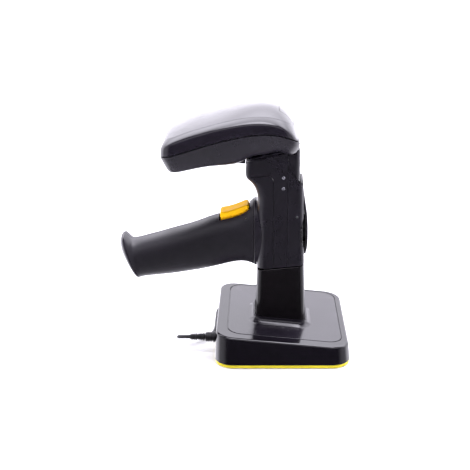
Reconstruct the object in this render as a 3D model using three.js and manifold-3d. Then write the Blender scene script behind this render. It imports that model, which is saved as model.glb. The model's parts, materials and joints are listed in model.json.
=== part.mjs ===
// Pistol-grip handheld scanner with a domed antenna head, standing nose up in its charging cradle.
// Millimetres, +Z up. The origin is on the table, under the middle of the cradle's column. The grip points
// along -X and the back of the scanner faces +X. The scanner is symmetric about the plane Y = 0; the cradle's
// base reaches further to +Y than to -Y, and its cord leaves on the -Y side.

import * as THREE from "three";
import { mergeVertices } from "three/addons/utils/BufferGeometryUtils.js";
import Module from "manifold-3d";

const wasm = await Module();
wasm.setup();

// ---------------------------------------------------------------- driving dimensions

const gap = 0.3;
const ringSides = 32;
const headSides = 40;
const gripSides = 24;

const base = { length: 115, near: -62, far: 70, corner: 16, draft: 1, lean: 3, top: 22.4, slope: -0.098 };
const baseSkin = { wall: 2.6, edge: 2.5 };
const pad = { height: 2.7, inset: 0.8, foot: 0.6 };
const boss = { x: 44, near: -46, far: 54, radius: 3.8, hole: 1.8, headRoom: 3.4 };
const panel = { left: -46.5, right: 50.5, near: -48, far: 62, corner: 12, thick: 1.2, groove: 0.8 };
const ballast = { left: -12, right: 49, near: -52, far: 60, low: 4.2, high: 10.5 };

const column = { left: -21.7, right: 18.8, half: 20, corner: 6.5, taper: 0.034, wall: 2.4, foot: 15 };
const rim = { height: 74, slope: 0.098, seam: 1.3 };
const flare = { height: 5.5, reach: 5 };
const contact = { rows: [-8, 0, 8], half: 2, front: -2.1, back: -0.9 };

const body = { back: 18.8, half: 20, wall: 2.4, lean: 0.02, frontCorner: 8.5, backCorner: 5 };
const bodyCrown = { height: 168.2, x: -28.2, slope: 0.218 };
const seam = { finger: -7.9, side: 4.3 };
const slant = { x: 5.8, height: 159.4, slope: -1.129, gap: 0.4 };
const strip = { back: 14.4, half: 19.2, top: 177.6, low: 173.6, open: 174.2, openHalf: 11 };
const button = { height: 162, radius: 3.5, flange: 4.8, proud: 0.7 };
const lamps = { x: 0.5, heights: [154.4, 145], radius: 1.4, flange: 2.4 };
const lock = { height: 105, radius: 19, hub: 11.5, front: 13.2, back: 17, lobes: 28 };
const plate = { low: 82.6, high: 151.5, half: 15, corner: 9 };
const sideFixing = { x: 12.1, z: 120.1, radius: 1 };
const tongue = { bottom: 46.3, neck: 73.5, top: 80.5, inset: 4.5, wall: 3.4 };

const head = { left: -99.7, right: 13.4, half: 43, noseCorner: 11, tailCorner: 17, wall: 2.2, parting: 0.55 };
const crown = { edge: 37, drop: 1.6, tailDrop: 2.6 };
const scanWindowBox = { left: -3, right: 9, half: 11 };
const antenna = { x: -50, z: 185, tilt: -14.5 };
const grip = { wall: 2.2, start: -24.6 };
const trigger = { pivotX: -30.5, pivotZ: 116.5, half: 9, skirt: 7.8, wall: 2, pin: 1.2 };
const neck = { half: 21.4, foot: 19.6, waist: 16.6 };
const spring = { x: -46, low: 104.6, height: 12, radius: 2.4, wire: 0.4, turns: 4 };
const jack = { y: -28, z: 13.8, radius: 4.2, end: -66.4, relief: 13 };
const cord = { radius: 1.6, quarterSides: 4 };
const coil = { x: 0, y: 96, inner: 11.6, outer: 24.4, height: 6.4 };
const plug = { x: -36, start: 106.6, width: 13, height: 7, body: 17, shell: 11.5, z: 3.6 };

// ---------------------------------------------------------------- materials

const charcoal = { color: 0x2b2831, roughness: 0.45, metalness: 0 };
const gloss = { color: 0x141216, roughness: 0.12, metalness: 0 };
const black = { color: 0x0d0c0f, roughness: 0.6, metalness: 0 };
const yellow = { color: 0xf2bd1c, roughness: 0.4, metalness: 0 };
const rubber = { color: 0x1a181c, roughness: 0.8, metalness: 0 };
const steel = { color: 0xb6b8bc, roughness: 0.3, metalness: 1 };
const gold = { color: 0xd9a441, roughness: 0.25, metalness: 1 };
const board = { color: 0x14532d, roughness: 0.5, metalness: 0 };
const ceramic = { color: 0xd8cfc0, roughness: 0.6, metalness: 0 };
const lens = { color: 0x3a3d44, roughness: 0.1, metalness: 0 };
const wrap = { color: 0x2456a6, roughness: 0.4, metalness: 0 };

// ---------------------------------------------------------------- helpers

function volumeOf(geometry) {
  const p = geometry.attributes.position;
  const index = geometry.index.array;
  const [a, b, c] = [new THREE.Vector3(), new THREE.Vector3(), new THREE.Vector3()];
  let sum = 0;
  for (let i = 0; i < index.length; i += 3) {
    a.fromBufferAttribute(p, index[i]);
    b.fromBufferAttribute(p, index[i + 1]);
    c.fromBufferAttribute(p, index[i + 2]);
    sum += a.dot(b.cross(c)) / 6;
  }
  return sum;
}

function solid(source) {
  let geometry = source.clone();
  geometry.deleteAttribute("normal");
  geometry.deleteAttribute("uv");
  geometry = mergeVertices(geometry, 1e-4);
  const index = Array.from(geometry.index.array);
  const triangles = [];
  const flip = volumeOf(geometry) < 0;
  for (let i = 0; i < index.length; i += 3) {
    const [a, b, c] = index.slice(i, i + 3);
    if (a === b || b === c || a === c) continue;
    triangles.push(a, flip ? c : b, flip ? b : c);
  }
  return new wasm.Manifold(new wasm.Mesh({
    numProp: 3,
    vertProperties: new Float32Array(geometry.attributes.position.array),
    triVerts: new Uint32Array(triangles),
  }));
}

function geometryOf(shape) {
  const mesh = shape.getMesh();
  const geometry = new THREE.BufferGeometry();
  geometry.setAttribute("position", new THREE.Float32BufferAttribute(mesh.vertProperties, 3));
  geometry.setIndex(Array.from(mesh.triVerts));
  geometry.computeVertexNormals();
  return geometry;
}

const part = new THREE.Group();

function add(name, shape, look) {
  const mesh = new THREE.Mesh(geometryOf(shape), new THREE.MeshStandardMaterial(look));
  mesh.name = name;
  part.add(mesh);
}

// A closed skin through a stack of rings that all have the same number of points.
function loft(rings) {
  const sides = rings[0].length;
  const steps = rings.length - 1;
  const geometry = new THREE.CylinderGeometry(1, 1, 1, sides, steps);
  const p = geometry.attributes.position;
  for (let i = 0; i < p.count; i++) {
    const ring = rings[Math.round((0.5 - p.getY(i)) * steps)];
    const turn = Math.atan2(p.getX(i), p.getZ(i)) / (2 * Math.PI);
    const onAxis = Math.hypot(p.getX(i), p.getZ(i)) < 0.5;
    const middle = () => ring.reduce((s, v) => s.add(v), new THREE.Vector3()).divideScalar(sides);
    const place = onAxis ? middle() : ring[((Math.round(turn * sides) % sides) + sides) % sides];
    p.setXYZ(i, place.x, place.y, place.z);
  }
  return solid(geometry);
}

// A rectangle with round corners, as evenly spaced points that start at the middle of its +X side.
function outline(left, right, half, leftCorner, rightCorner = leftCorner, sides = ringSides) {
  const shape = new THREE.Shape();
  shape.moveTo(right, 0);
  shape.lineTo(right, half - rightCorner);
  shape.absarc(right - rightCorner, half - rightCorner, rightCorner, 0, Math.PI / 2);
  shape.lineTo(left + leftCorner, half);
  shape.absarc(left + leftCorner, half - leftCorner, leftCorner, Math.PI / 2, Math.PI);
  shape.lineTo(left, leftCorner - half);
  shape.absarc(left + leftCorner, leftCorner - half, leftCorner, Math.PI, 1.5 * Math.PI);
  shape.lineTo(right - rightCorner, -half);
  shape.absarc(right - rightCorner, rightCorner - half, rightCorner, 1.5 * Math.PI, 2 * Math.PI);
  shape.lineTo(right, 0);
  return shape.getSpacedPoints(sides).slice(0, sides);
}

// Lifts a flat outline to the height that rule(x, y) gives.
function lift(points, rule) {
  return points.map((v) => new THREE.Vector3(v.x, v.y, rule(v.x, v.y)));
}

// A prism whose outline lies in the XZ plane, between two Y values.
function prismXZ(points, y0, y1) {
  const shape = new THREE.Shape(points.map(([x, z]) => new THREE.Vector2(x, z)));
  const geometry = new THREE.ExtrudeGeometry(shape, { depth: y1 - y0, bevelEnabled: false });
  geometry.rotateX(Math.PI / 2);
  geometry.translate(0, y1, 0);
  return solid(geometry);
}

function box(x0, x1, y0, y1, z0, z1) {
  const geometry = new THREE.BoxGeometry(x1 - x0, y1 - y0, z1 - z0);
  geometry.translate((x0 + x1) / 2, (y0 + y1) / 2, (z0 + z1) / 2);
  return solid(geometry);
}

function rodX(radius, x0, x1, y, z, sides = 16) {
  const geometry = new THREE.CylinderGeometry(radius, radius, x1 - x0, sides);
  geometry.rotateZ(Math.PI / 2);
  geometry.translate((x0 + x1) / 2, y, z);
  return solid(geometry);
}

function rodY(radius, y0, y1, x, z, sides = 12) {
  const geometry = new THREE.CylinderGeometry(radius, radius, y1 - y0, sides);
  geometry.translate(x, (y0 + y1) / 2, z);
  return solid(geometry);
}

function rodZ(radius, z0, z1, x, y, sides = 12) {
  const geometry = new THREE.CylinderGeometry(radius, radius, z1 - z0, sides);
  geometry.rotateX(Math.PI / 2);
  geometry.translate(x, y, (z0 + z1) / 2);
  return solid(geometry);
}

// A smooth curve of Z (or X) through a few points, looked up by its first coordinate.
function graph(points) {
  const times = points.map(([t]) => t);
  const values = points.map(([, v]) => v);
  const curve = new THREE.CubicInterpolant(times, values, 1);
  return (t) => curve.evaluate(Math.min(Math.max(t, times[0]), times[times.length - 1]))[0];
}

function baseTop(x) {
  return base.top + base.slope * x;
}

function rimTop(x) {
  return rim.height + rim.slope * x;
}

// ---------------------------------------------------------------- the cradle's base

function baseOutline(inset, lean = inset) {
  const middle = (base.near + base.far) / 2;
  const half = (base.far - base.near) / 2 - lean;
  const reach = base.length / 2 - inset;
  const flat = outline(-reach, reach, half, Math.max(base.corner - inset, 3));
  return flat.map((v) => new THREE.Vector2(v.x, v.y + middle));
}

function bossPlaces() {
  return [[-boss.x, boss.near], [-boss.x, boss.far], [boss.x, boss.near], [boss.x, boss.far]];
}

function padSolid() {
  let shape = loft([
    lift(baseOutline(pad.inset + 0.5), () => 0),
    lift(baseOutline(pad.inset), () => pad.foot),
    lift(baseOutline(pad.inset), () => pad.height),
  ]);
  for (const [x, y] of bossPlaces()) {
    shape = shape.subtract(rodZ(boss.headRoom, -1, 2.1, x, y)).subtract(rodZ(1.9, -1, 5, x, y));
  }
  return shape;
}

function panelOutline(inset) {
  const middle = (panel.near + panel.far) / 2;
  const half = (panel.far - panel.near) / 2 - inset;
  const flat = outline(panel.left + inset, panel.right - inset, half, panel.corner - inset);
  return flat.map((v) => new THREE.Vector2(v.x, v.y + middle));
}

function baseShell() {
  const floor = pad.height + gap;
  const ring = (inset, rule) => lift(baseOutline(base.draft + inset, base.lean + inset), rule);
  const bevel = baseSkin.edge * 0.3;
  const outer = loft([
    lift(baseOutline(0), () => floor),
    ring(0, (x) => baseTop(x) - baseSkin.edge),
    ring(bevel, (x) => baseTop(x) - bevel),
    ring(baseSkin.edge, baseTop),
  ]);
  const inner = loft([
    lift(baseOutline(baseSkin.wall), () => floor - 1),
    ring(baseSkin.wall, (x) => baseTop(x) - baseSkin.wall - 1.5),
  ]);
  let shape = outer.subtract(inner);
  for (const [x, y] of bossPlaces()) {
    shape = shape.add(rodZ(boss.radius, floor + 0.2, baseTop(x) - baseSkin.wall, x, y));
  }
  for (const [x, y] of bossPlaces()) {
    shape = shape.subtract(rodZ(boss.hole, floor - 1, 14, x, y));
  }
  const recess = loft([
    lift(panelOutline(-panel.groove), (x) => baseTop(x) - panel.thick - gap),
    lift(panelOutline(-panel.groove), (x) => baseTop(x) + 5),
  ]);
  const throat = loft([
    lift(columnOutline(20, -gap), () => 0),
    lift(columnOutline(20, -gap), () => 40),
  ]);
  const port = rodX(jack.radius - 0.6 + gap, -60, -50, jack.y, jack.z, 24);
  return shape.subtract(recess).subtract(throat).subtract(port);
}

// The inlaid top panel runs up into a short flare round the column's foot.
function topPanel() {
  const inlay = loft([
    lift(panelOutline(0), (x) => baseTop(x) - panel.thick),
    lift(panelOutline(0), baseTop),
  ]);
  const levels = [0, 0.12, 0.3, 0.6, 1];
  const skirt = loft([-0.15, ...levels].map((t) => {
    const spread = 0.8 + flare.reach * Math.pow(1 - Math.max(t, 0), 2.4);
    return lift(columnOutline(25, -spread), (x) => baseTop(x) + flare.height * t);
  }));
  const throat = loft([
    lift(columnOutline(column.foot, -gap), () => column.foot),
    lift(columnOutline(45, -gap), () => 45),
  ]);
  return inlay.add(skirt).subtract(throat);
}

function ballastPlate() {
  let shape = box(ballast.left, ballast.right, ballast.near, ballast.far, ballast.low, ballast.high);
  for (const [x, y] of bossPlaces()) {
    shape = shape.subtract(rodZ(boss.radius + 0.6, 0, 20, x, y));
  }
  return shape;
}

function cradleBoard() {
  const plate = box(-48, -16, -38, 38, 8, 9.6);
  const chip = box(-36, -28, -6, 4, 9.5, 11);
  const inductor = rodZ(4, 9.5, 14, -32, 16, 16);
  const capacitor = rodZ(3, 9.5, 16, -22, 26, 16);
  const header = box(-46, -41, -33, -21, 9.5, 12);
  return plate.add(chip).add(inductor).add(capacitor).add(header);
}

function baseScrew(x, y) {
  const head = rodZ(3, 0.4, 1.8, x, y);
  const shank = rodZ(1.5, 1.7, 12, x, y, 14);
  const cross = box(x - 1.6, x + 1.6, y - 0.35, y + 0.35, -1, 1.1);
  const other = box(x - 0.35, x + 0.35, y - 1.6, y + 1.6, -1, 1.1);
  return head.add(shank).subtract(cross).subtract(other);
}

// ---------------------------------------------------------------- the cradle's column and its socket

function columnOutline(z, inset) {
  const grow = Math.max(0, rim.height - z) * column.taper - inset;
  const corner = Math.max(column.corner - inset, 1.5);
  return outline(column.left - grow, column.right + grow, column.half + grow * 0.4 - inset * 0.6, corner);
}

function columnShell() {
  const outer = loft([
    lift(columnOutline(column.foot, 0), () => column.foot),
    lift(columnOutline(45, 0), () => 45),
    lift(columnOutline(rim.height, 0), (x) => rimTop(x) - 0.6),
    lift(columnOutline(rim.height, 0.5), (x) => rimTop(x)),
  ]);
  const flange = loft([
    lift(columnOutline(column.foot, -3), () => column.foot - 2),
    lift(columnOutline(column.foot, -3), () => column.foot),
  ]);
  const inner = loft([
    lift(columnOutline(column.foot, column.wall), () => column.foot - 4),
    lift(columnOutline(rim.height, column.wall), (x) => rimTop(x) + 2),
  ]);
  return outer.add(flange).subtract(inner);
}

function socketLiner() {
  const outer = loft([
    lift(columnOutline(rim.height, column.wall + gap), () => 44.5),
    lift(columnOutline(rim.height, column.wall + gap), (x) => rimTop(x) - 1),
  ]);
  const inner = loft([
    lift(columnOutline(rim.height, column.wall + 1.7), () => 40),
    lift(columnOutline(rim.height, column.wall + 1.7), (x) => rimTop(x) + 1),
  ]);
  return outer.subtract(inner);
}

function contactCarrier() {
  let shape = loft([
    lift(columnOutline(rim.height, column.wall + 0.4), () => 33),
    lift(columnOutline(rim.height, column.wall + 0.4), () => 43.5),
  ]);
  const reach = contact.half + gap;
  for (const y of contact.rows) {
    shape = shape.subtract(box(contact.front - gap, contact.back + gap, y - reach, y + reach, 32, 45));
  }
  return shape;
}

function contactBlade(y) {
  return box(contact.front, contact.back, y - contact.half, y + contact.half, 31, 45.4);
}

function contactPad(y) {
  return box(-4, 1, y - 2.4, y + 2.4, 45.7, 47.2);
}

// ---------------------------------------------------------------- cord, gland and plug

function turned(profile, y, z, sides = 24) {
  const points = profile.map(([x, r]) => new THREE.Vector2(r, x));
  const geometry = new THREE.LatheGeometry(points, sides);
  geometry.rotateZ(-Math.PI / 2);
  geometry.translate(0, y, z);
  return solid(geometry);
}

function cableGland() {
  const neck = jack.radius - 0.6;
  const profile = [[-51, 0], [-51, 5.6], [-53.6, 5.6], [-53.6, neck], [-57.9, neck]];
  profile.push([-57.9, jack.radius + 0.5], [-59.6, jack.radius + 0.5]);
  profile.push([-60.2, jack.radius], [-65.8, jack.radius]);
  profile.push([jack.end, jack.radius - 0.6], [jack.end, 0]);
  return turned(profile, jack.y, jack.z);
}

function strainRelief() {
  const start = jack.end - gap;
  const profile = [[start, 0], [start, 2.6]];
  for (const [from, wide] of [[start - 0.6, 3.2], [start - 7, 2.9]]) {
    profile.push([from, wide], [from - 2.2, wide], [from - 2.6, wide - 0.8], [from - 3, wide]);
    profile.push([from - 5, wide - 0.2], [from - 5.4, 2]);
  }
  profile.push([start - jack.relief, 1.9], [start - jack.relief, 0]);
  return turned(profile, jack.y, jack.z, 20);
}

// The lead leaves the relief, doubles back under itself and follows the base's foot round to the coil.
const leadRoute = [
  [jack.end - gap - jack.relief - gap, jack.y, jack.z],
  [-81.5, -28, 13.8], [-87.8, -25.5, 12.6], [-90.5, -20, 10], [-87.8, -14.3, 7.4], [-81.5, -11.8, 6.2],
  [-75, -8, 4.2], [-68, -3, 2.1], [-63, 3, 1.7], [-60.5, 10, 1.7], [-59.5, 20, 1.7], [-59.5, 31, 1.7],
  [-59.5, 42, 1.7], [-59.5, 53, 1.7], [-58.3, 60.5, 1.7], [-54.6, 67, 1.7], [-48.8, 71.4, 1.7],
  [-41.5, 73.2, 1.7], [-34, 73.2, 1.7], [-22, 73.2, 1.7], [-13.4, 73.2, 1.7],
];

const tailRoute = [
  [-15, 118.8, 3.4], [-19.5, 118.8, 2.2], [-24, 118.6, 1.9], [-28.6, 117.5, 2], [-32.5, 114.6, 2.6],
  [-35, 111, 3.4], [-36, 107, 3.6],
];

function tube(route, steps) {
  const path = new THREE.CatmullRomCurve3(route.map(([x, y, z]) => new THREE.Vector3(x, y, z)));
  const section = new THREE.Shape();
  section.absarc(0, 0, cord.radius, 0, 2 * Math.PI);
  const settings = { steps, extrudePath: path, bevelEnabled: false, curveSegments: cord.quarterSides };
  return solid(new THREE.ExtrudeGeometry(section, settings));
}

function cordCoil() {
  const [inner, outer, high] = [coil.inner, coil.outer, coil.height];
  const profile = [[inner, 0.8], [inner + 0.7, 0.1], [outer - 0.7, 0.1], [outer, 0.8]];
  profile.push([outer, high - 0.6], [outer - 0.7, high + 0.1], [inner + 0.7, high + 0.1]);
  profile.push([inner, high - 0.6], [inner, 0.8]);
  const geometry = new THREE.LatheGeometry(profile.map(([r, z]) => new THREE.Vector2(r, z)), 32);
  geometry.rotateX(Math.PI / 2);
  geometry.translate(coil.x, coil.y, 0);
  return solid(geometry);
}

function plugBody() {
  const section = outline(-plug.width / 2, plug.width / 2, plug.height / 2, 2, 2, 24);
  const ring = (y, scale) => section.map((v) => {
    return new THREE.Vector3(plug.x + v.x * scale, y, Math.max(plug.z + v.y * scale, 0.1));
  });
  const end = plug.start - plug.body;
  const taper = [ring(plug.start, 0.5), ring(plug.start - 4, 0.72), ring(plug.start - 6.5, 1)];
  const shape = loft([...taper, ring(end, 1)]);
  const half = plug.shell / 2 + 0.35;
  return shape.subtract(box(plug.x - half, plug.x + half, end - 1, end + 3, plug.z - 2.6, plug.z + 2.6));
}

function plugShell() {
  const end = plug.start - plug.body;
  const half = plug.shell / 2;
  const outer = box(plug.x - half, plug.x + half, end - 12, end + 2.6, plug.z - 2.2, plug.z + 2.2);
  const hollow = box(plug.x - half + 0.4, plug.x + half - 0.4, end - 13, end, plug.z - 0.2, plug.z + 1.8);
  return outer.subtract(hollow);
}

// ---------------------------------------------------------------- the scanner's upright body

const bodyLeft = graph([
  [40, -21.7], [76, -21.7], [92, -21.3], [107, -20.9], [119, -21.4], [132, -21.3], [137, -21.3], [141, -22.3],
  [145, -23.9], [149, -26.9], [152, -29.7], [154.5, -30.8], [165, -30.8], [190, -30.8],
]);
const bodyLevels = [60, 92, 107, 119, 132, 137, 141, 145, 149, 152, 154.5, 165, 182];

function bodyRing(z, inset, back = null) {
  const right = (back ?? body.back - (z - 76) * body.lean) - inset;
  const front = THREE.MathUtils.lerp(body.frontCorner, 5, THREE.MathUtils.smoothstep(z, 148, 156));
  const corner = Math.max(front - inset, 1);
  const half = (back ? strip.half : body.half) - inset;
  const flat = outline(bodyLeft(z) + inset, right, half, corner, body.backCorner);
  return lift(flat, () => z);
}

function bodyBlock(inset, back = null) {
  return loft(bodyLevels.map((z) => bodyRing(z, inset, back)));
}

// The body's lower edge follows the cradle's rim, and its top follows the head's slope.
function bodyTop(x) {
  return bodyCrown.height + bodyCrown.slope * (x - bodyCrown.x);
}

function bodySlab() {
  const [left, right] = [-45, 30];
  return prismXZ([
    [left, rimTop(left) + rim.seam], [right, rimTop(right) + rim.seam],
    [right, bodyTop(right)], [left, bodyTop(left)],
  ], -40, 40);
}

function shellPiece(region, block, inside) {
  return block.subtract(inside).intersect(region);
}

function frontRegion() {
  const edge = seam.finger - gap / 2;
  return prismXZ([
    [-45, 60], [edge, 60], [edge, 151], [edge - 1.2, 154], [edge - 4, 155.5],
    [-22, 155], [-31, 153.8], [-45, 153.8],
  ], -40, 40);
}

function coreRegion() {
  const edge = seam.finger + gap / 2;
  const side = seam.side - gap / 2;
  return prismXZ([
    [edge, 60], [side, 60], [side, 200], [-45, 200], [-45, 154.2], [-31, 154.2],
    [-22, 155.4], [edge - 4, 155.9], [edge - 1, 154.2], [edge, 151],
  ], -40, 40);
}

function slantAt(x) {
  return slant.height + slant.slope * (x - slant.x);
}

function rearRegion() {
  const side = seam.side + gap / 2;
  return prismXZ([[side, 60], [40, 60], [40, slantAt(40)], [side, slantAt(side)]], -40, 40);
}

function stripRegion() {
  const side = seam.side + gap / 2;
  return prismXZ([
    [side, slantAt(side) + slant.gap], [40, slantAt(40) + slant.gap], [40, strip.top],
    [strip.back - 1.5, strip.top], [strip.back - 4.5, strip.low], [side, strip.low],
  ], -40, 40);
}

function bodyCore() {
  const block = bodyBlock(0).intersect(bodySlab());
  let shape = shellPiece(coreRegion(), block, bodyBlock(body.wall));
  for (const z of lamps.heights) {
    shape = shape.subtract(rodY(lamps.radius + gap, -21, -16, lamps.x, z));
  }
  return shape;
}

function statusLens(z) {
  const tip = rodY(lamps.radius, -20.1, -17.2, lamps.x, z, 16);
  return tip.add(rodY(lamps.flange, -17.2, -16.2, lamps.x, z, 16));
}

function frontCover() {
  const block = bodyBlock(0).intersect(bodySlab());
  const shape = shellPiece(frontRegion(), block, bodyBlock(body.wall));
  return shape.subtract(box(-30, -10, -6, 6, 88, 122));
}

// A scoop in the cover's back corner, so that a finger reaches the release ring.
function notch(y0, y1) {
  return prismXZ([
    [24, 122], [17.6, 117.5], [15.4, 111.5], [14.4, 105.4], [15.4, 98.5], [18, 91.5], [24, 88],
  ], y0, y1);
}

function rearCover() {
  const block = bodyBlock(0).intersect(bodySlab());
  const seat = rodX(24, 10.4, 30, 0, lock.height, 36).intersect(block);
  let shape = block.subtract(bodyBlock(body.wall)).add(seat).intersect(rearRegion());
  shape = shape.subtract(rodX(lock.radius + 0.4, lock.front - gap, 30, 0, lock.height, 48));
  shape = shape.subtract(notch(-30, -11)).subtract(notch(11, 30));
  const drill = (y0, y1) => rodY(sideFixing.radius + gap, y0, y1, sideFixing.x, sideFixing.z);
  return shape.subtract(drill(-21, -13)).subtract(drill(13, 21));
}

function rearStrip() {
  const block = bodyBlock(0, strip.back).subtract(bodyBlock(body.wall, strip.back));
  const opening = box(strip.back - 5, 20, -strip.openHalf, strip.openHalf, strip.open, strip.top + 5);
  const bore = rodX(button.radius + gap, 8, 20, 0, button.height);
  return block.intersect(stripRegion()).subtract(opening).subtract(bore);
}

function powerButton() {
  const stem = rodX(button.radius, strip.back - 3, strip.back + button.proud, 0, button.height);
  return stem.add(rodX(button.flange, strip.back - 4.2, strip.back - 2.9, 0, button.height));
}

// A crowned plate on the scanner's back, with the hub that the release ring turns on.
function mountPlate() {
  const outer = new THREE.SplineCurve([
    new THREE.Vector2(20.4, plate.low), new THREE.Vector2(21.8, 91), new THREE.Vector2(22.2, 106),
    new THREE.Vector2(21.4, 121), new THREE.Vector2(19.4, 134), new THREE.Vector2(17.4, 150.6),
  ]).getPoints(12).map((v) => [v.x, v.y]);
  const inner = [[15.6, 151], [15.6, 148.4], [17.75, 146], [19.15, plate.low]];
  const slab = prismXZ([...outer, ...inner], -plate.half, plate.half);
  const face = outline(plate.low, plate.high, plate.half, plate.corner, plate.corner, 40);
  const ringAt = (x) => face.map((v) => new THREE.Vector3(x, v.y, v.x));
  const hub = rodX(lock.hub, lock.front, 19.4, 0, lock.height, 32);
  return slab.intersect(loft([ringAt(10), ringAt(30)])).add(hub);
}

function releaseRing() {
  const shape = new THREE.Shape();
  const points = lock.lobes * 2;
  for (let i = 0; i < points; i++) {
    const angle = (i / points) * 2 * Math.PI;
    const reach = i % 2 ? lock.radius : lock.radius - 0.6;
    const [u, v] = [reach * Math.cos(angle), reach * Math.sin(angle)];
    if (i === 0) shape.moveTo(u, v);
    else shape.lineTo(u, v);
  }
  const hole = new THREE.Path();
  hole.absarc(0, 0, lock.hub + 0.5, 0, 2 * Math.PI);
  shape.holes.push(hole);
  const settings = { depth: lock.back - lock.front, bevelEnabled: false, curveSegments: 16 };
  const geometry = new THREE.ExtrudeGeometry(shape, settings);
  geometry.rotateY(Math.PI / 2);
  geometry.translate(lock.front, 0, lock.height);
  return solid(geometry);
}

function sideScrew(side) {
  const [from, to] = side < 0 ? [-20.05, -13.6] : [13.6, 20.05];
  return rodY(sideFixing.radius, from, to, sideFixing.x, sideFixing.z, 14);
}

function dockTongue() {
  const shoe = loft([
    lift(columnOutline(rim.height, tongue.inset + 1), () => tongue.bottom),
    lift(columnOutline(rim.height, tongue.inset), () => tongue.bottom + 2),
    lift(columnOutline(rim.height, tongue.inset), () => tongue.neck),
  ]);
  const neck = loft([
    lift(columnOutline(rim.height, tongue.inset), () => tongue.neck - 1),
    lift(columnOutline(rim.height, tongue.inset), () => tongue.top),
  ]).intersect(bodyBlock(body.wall + gap));
  const outer = shoe.add(neck);
  const hollow = loft([
    lift(columnOutline(rim.height, tongue.inset + tongue.wall), () => tongue.bottom + 4),
    lift(columnOutline(rim.height, tongue.inset + tongue.wall), () => tongue.top + 2),
  ]);
  let shape = outer.subtract(hollow);
  for (const y of contact.rows) {
    shape = shape.subtract(box(-4.3, 1.3, y - 2.7, y + 2.7, 40, 47.5));
  }
  return shape;
}

function mainBoard() {
  const plate = box(-3, -1.4, -15, 15, 90, 160);
  const processor = box(-1.5, 0.4, -7, 7, 112, 126);
  const radio = box(-1.5, 1.2, -10, 10, 134, 156);
  const connector = box(-5.4, -2.9, -8, 8, 94, 98);
  return plate.add(processor).add(radio).add(connector);
}

function beeper() {
  return rodX(5, -8.4, -3.3, 0, 140, 20);
}

// ---------------------------------------------------------------- the domed head

const crestZ = graph([
  [-102, 182.5], [-97, 188.2], [-90, 192.4], [-78, 197], [-64, 201.2], [-43, 207.2], [-30, 210.6],
  [-20.8, 211.9], [-10.3, 211.5], [-1.7, 208.4], [5.2, 203], [9.6, 196.4], [14, 186],
]);
const partingZ = graph([
  [-105, 174.9], [-96.2, 177], [-86.4, 179.5], [-66, 185.9], [-45.6, 191.5], [-29.3, 194.8],
  [-13.2, 196], [-3.4, 195], [4.7, 192.2], [9, 190], [13.4, 187],
]);
const bellyZ = graph([
  [-102, 159], [-91, 160.4], [-71.6, 164.4], [-57, 166.6], [-42, 168], [-36, 169.6], [-28, 173.8],
  [-14, 176.8], [-1, 178.2], [5, 175.4], [9, 174.5], [14, 174.5],
]);

function crownZ(x, y) {
  const depth = crown.drop + crown.tailDrop * THREE.MathUtils.smoothstep(x, -60, -10);
  return crestZ(x) - depth * Math.pow(y / crown.edge, 2);
}

function headOutline(inset, leftIn = 0, rightIn = 0, sideIn = 0) {
  const left = head.left + inset + leftIn;
  const right = head.right - inset - rightIn;
  const nose = Math.max(head.noseCorner - inset - sideIn * 0.2, 3);
  const tail = Math.max(head.tailCorner - inset - sideIn * 0.3, 3);
  return outline(left, right, head.half - inset - sideIn, nose, tail, headSides);
}

// The same outline drawn in towards the middle of the head by the factor k.
function drawnIn(flat, k) {
  const middle = (head.left + head.right) / 2;
  return flat.map((v) => new THREE.Vector2(middle + (v.x - middle) * k, v.y * k));
}

// Shoulder rings: how far each is drawn in at the side, and how far up it is from parting line to crown.
const shoulder = [[0, 0], [0.3, 0.4], [1, 0.72], [2.7, 0.87], [5.8, 0.95], [9.8, 1]];

function headTop(inset, start) {
  const outlineAt = (sideIn) => headOutline(inset, sideIn * 0.35, sideIn * 0.6, sideIn);
  const rings = shoulder.map(([sideIn, up]) => lift(outlineAt(sideIn), (x, y) => {
    return THREE.MathUtils.lerp(partingZ(x) + start, crownZ(x, y) - inset, up);
  }));
  const edge = outlineAt(shoulder[shoulder.length - 1][0]);
  for (const k of [0.62, 0.32, 0.04]) {
    rings.push(lift(drawnIn(edge, k), (x, y) => crownZ(x, y) - inset));
  }
  return rings;
}

// Rings across the arched parting surface, from its middle to the rim.
function headFloor(inset, start) {
  return [0.04, 0.4, 0.75].map((k) => lift(drawnIn(headOutline(inset), k), (x) => partingZ(x) + start));
}

// Belly rings: how far each is drawn in at the left, right and side, and how far down it is.
const keel = [
  [0, 0, 0, 0], [1.7, 0.3, 2.2, 0.3], [4.8, 2.2, 6.6, 0.76], [6.6, 4.6, 10.4, 0.93], [9.5, 6.4, 15, 1],
];

function headBottom(inset, start) {
  const rings = keel.map(([leftIn, rightIn, sideIn, down]) => {
    return lift(headOutline(inset, leftIn, rightIn, sideIn), (x) => {
      return THREE.MathUtils.lerp(partingZ(x) + start, bellyZ(x) + inset, down);
    });
  });
  const [leftIn, rightIn, sideIn] = keel[keel.length - 1];
  const edge = headOutline(inset, leftIn, rightIn, sideIn);
  for (const k of [0.8, 0.5, 0.05]) {
    rings.push(lift(drawnIn(edge, k), (x) => bellyZ(x) + inset));
  }
  return rings;
}

function windowCut(grow) {
  const reach = scanWindowBox.half + grow;
  return box(scanWindowBox.left - grow, scanWindowBox.right + grow, -reach, reach, 192, 230);
}

function headUpper() {
  const outer = loft([...headFloor(0, head.parting), ...headTop(0, head.parting)]);
  const inner = loft([...headFloor(head.wall, head.parting - 2), ...headTop(head.wall, head.parting - 2)]);
  return outer.subtract(inner).subtract(windowCut(0.25));
}

function scanWindow() {
  const outer = loft([...headFloor(0, head.parting), ...headTop(0, head.parting)]);
  const inner = loft([...headFloor(head.wall, -8), ...headTop(head.wall, -8)]);
  return outer.subtract(inner).intersect(windowCut(-0.1));
}

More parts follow.
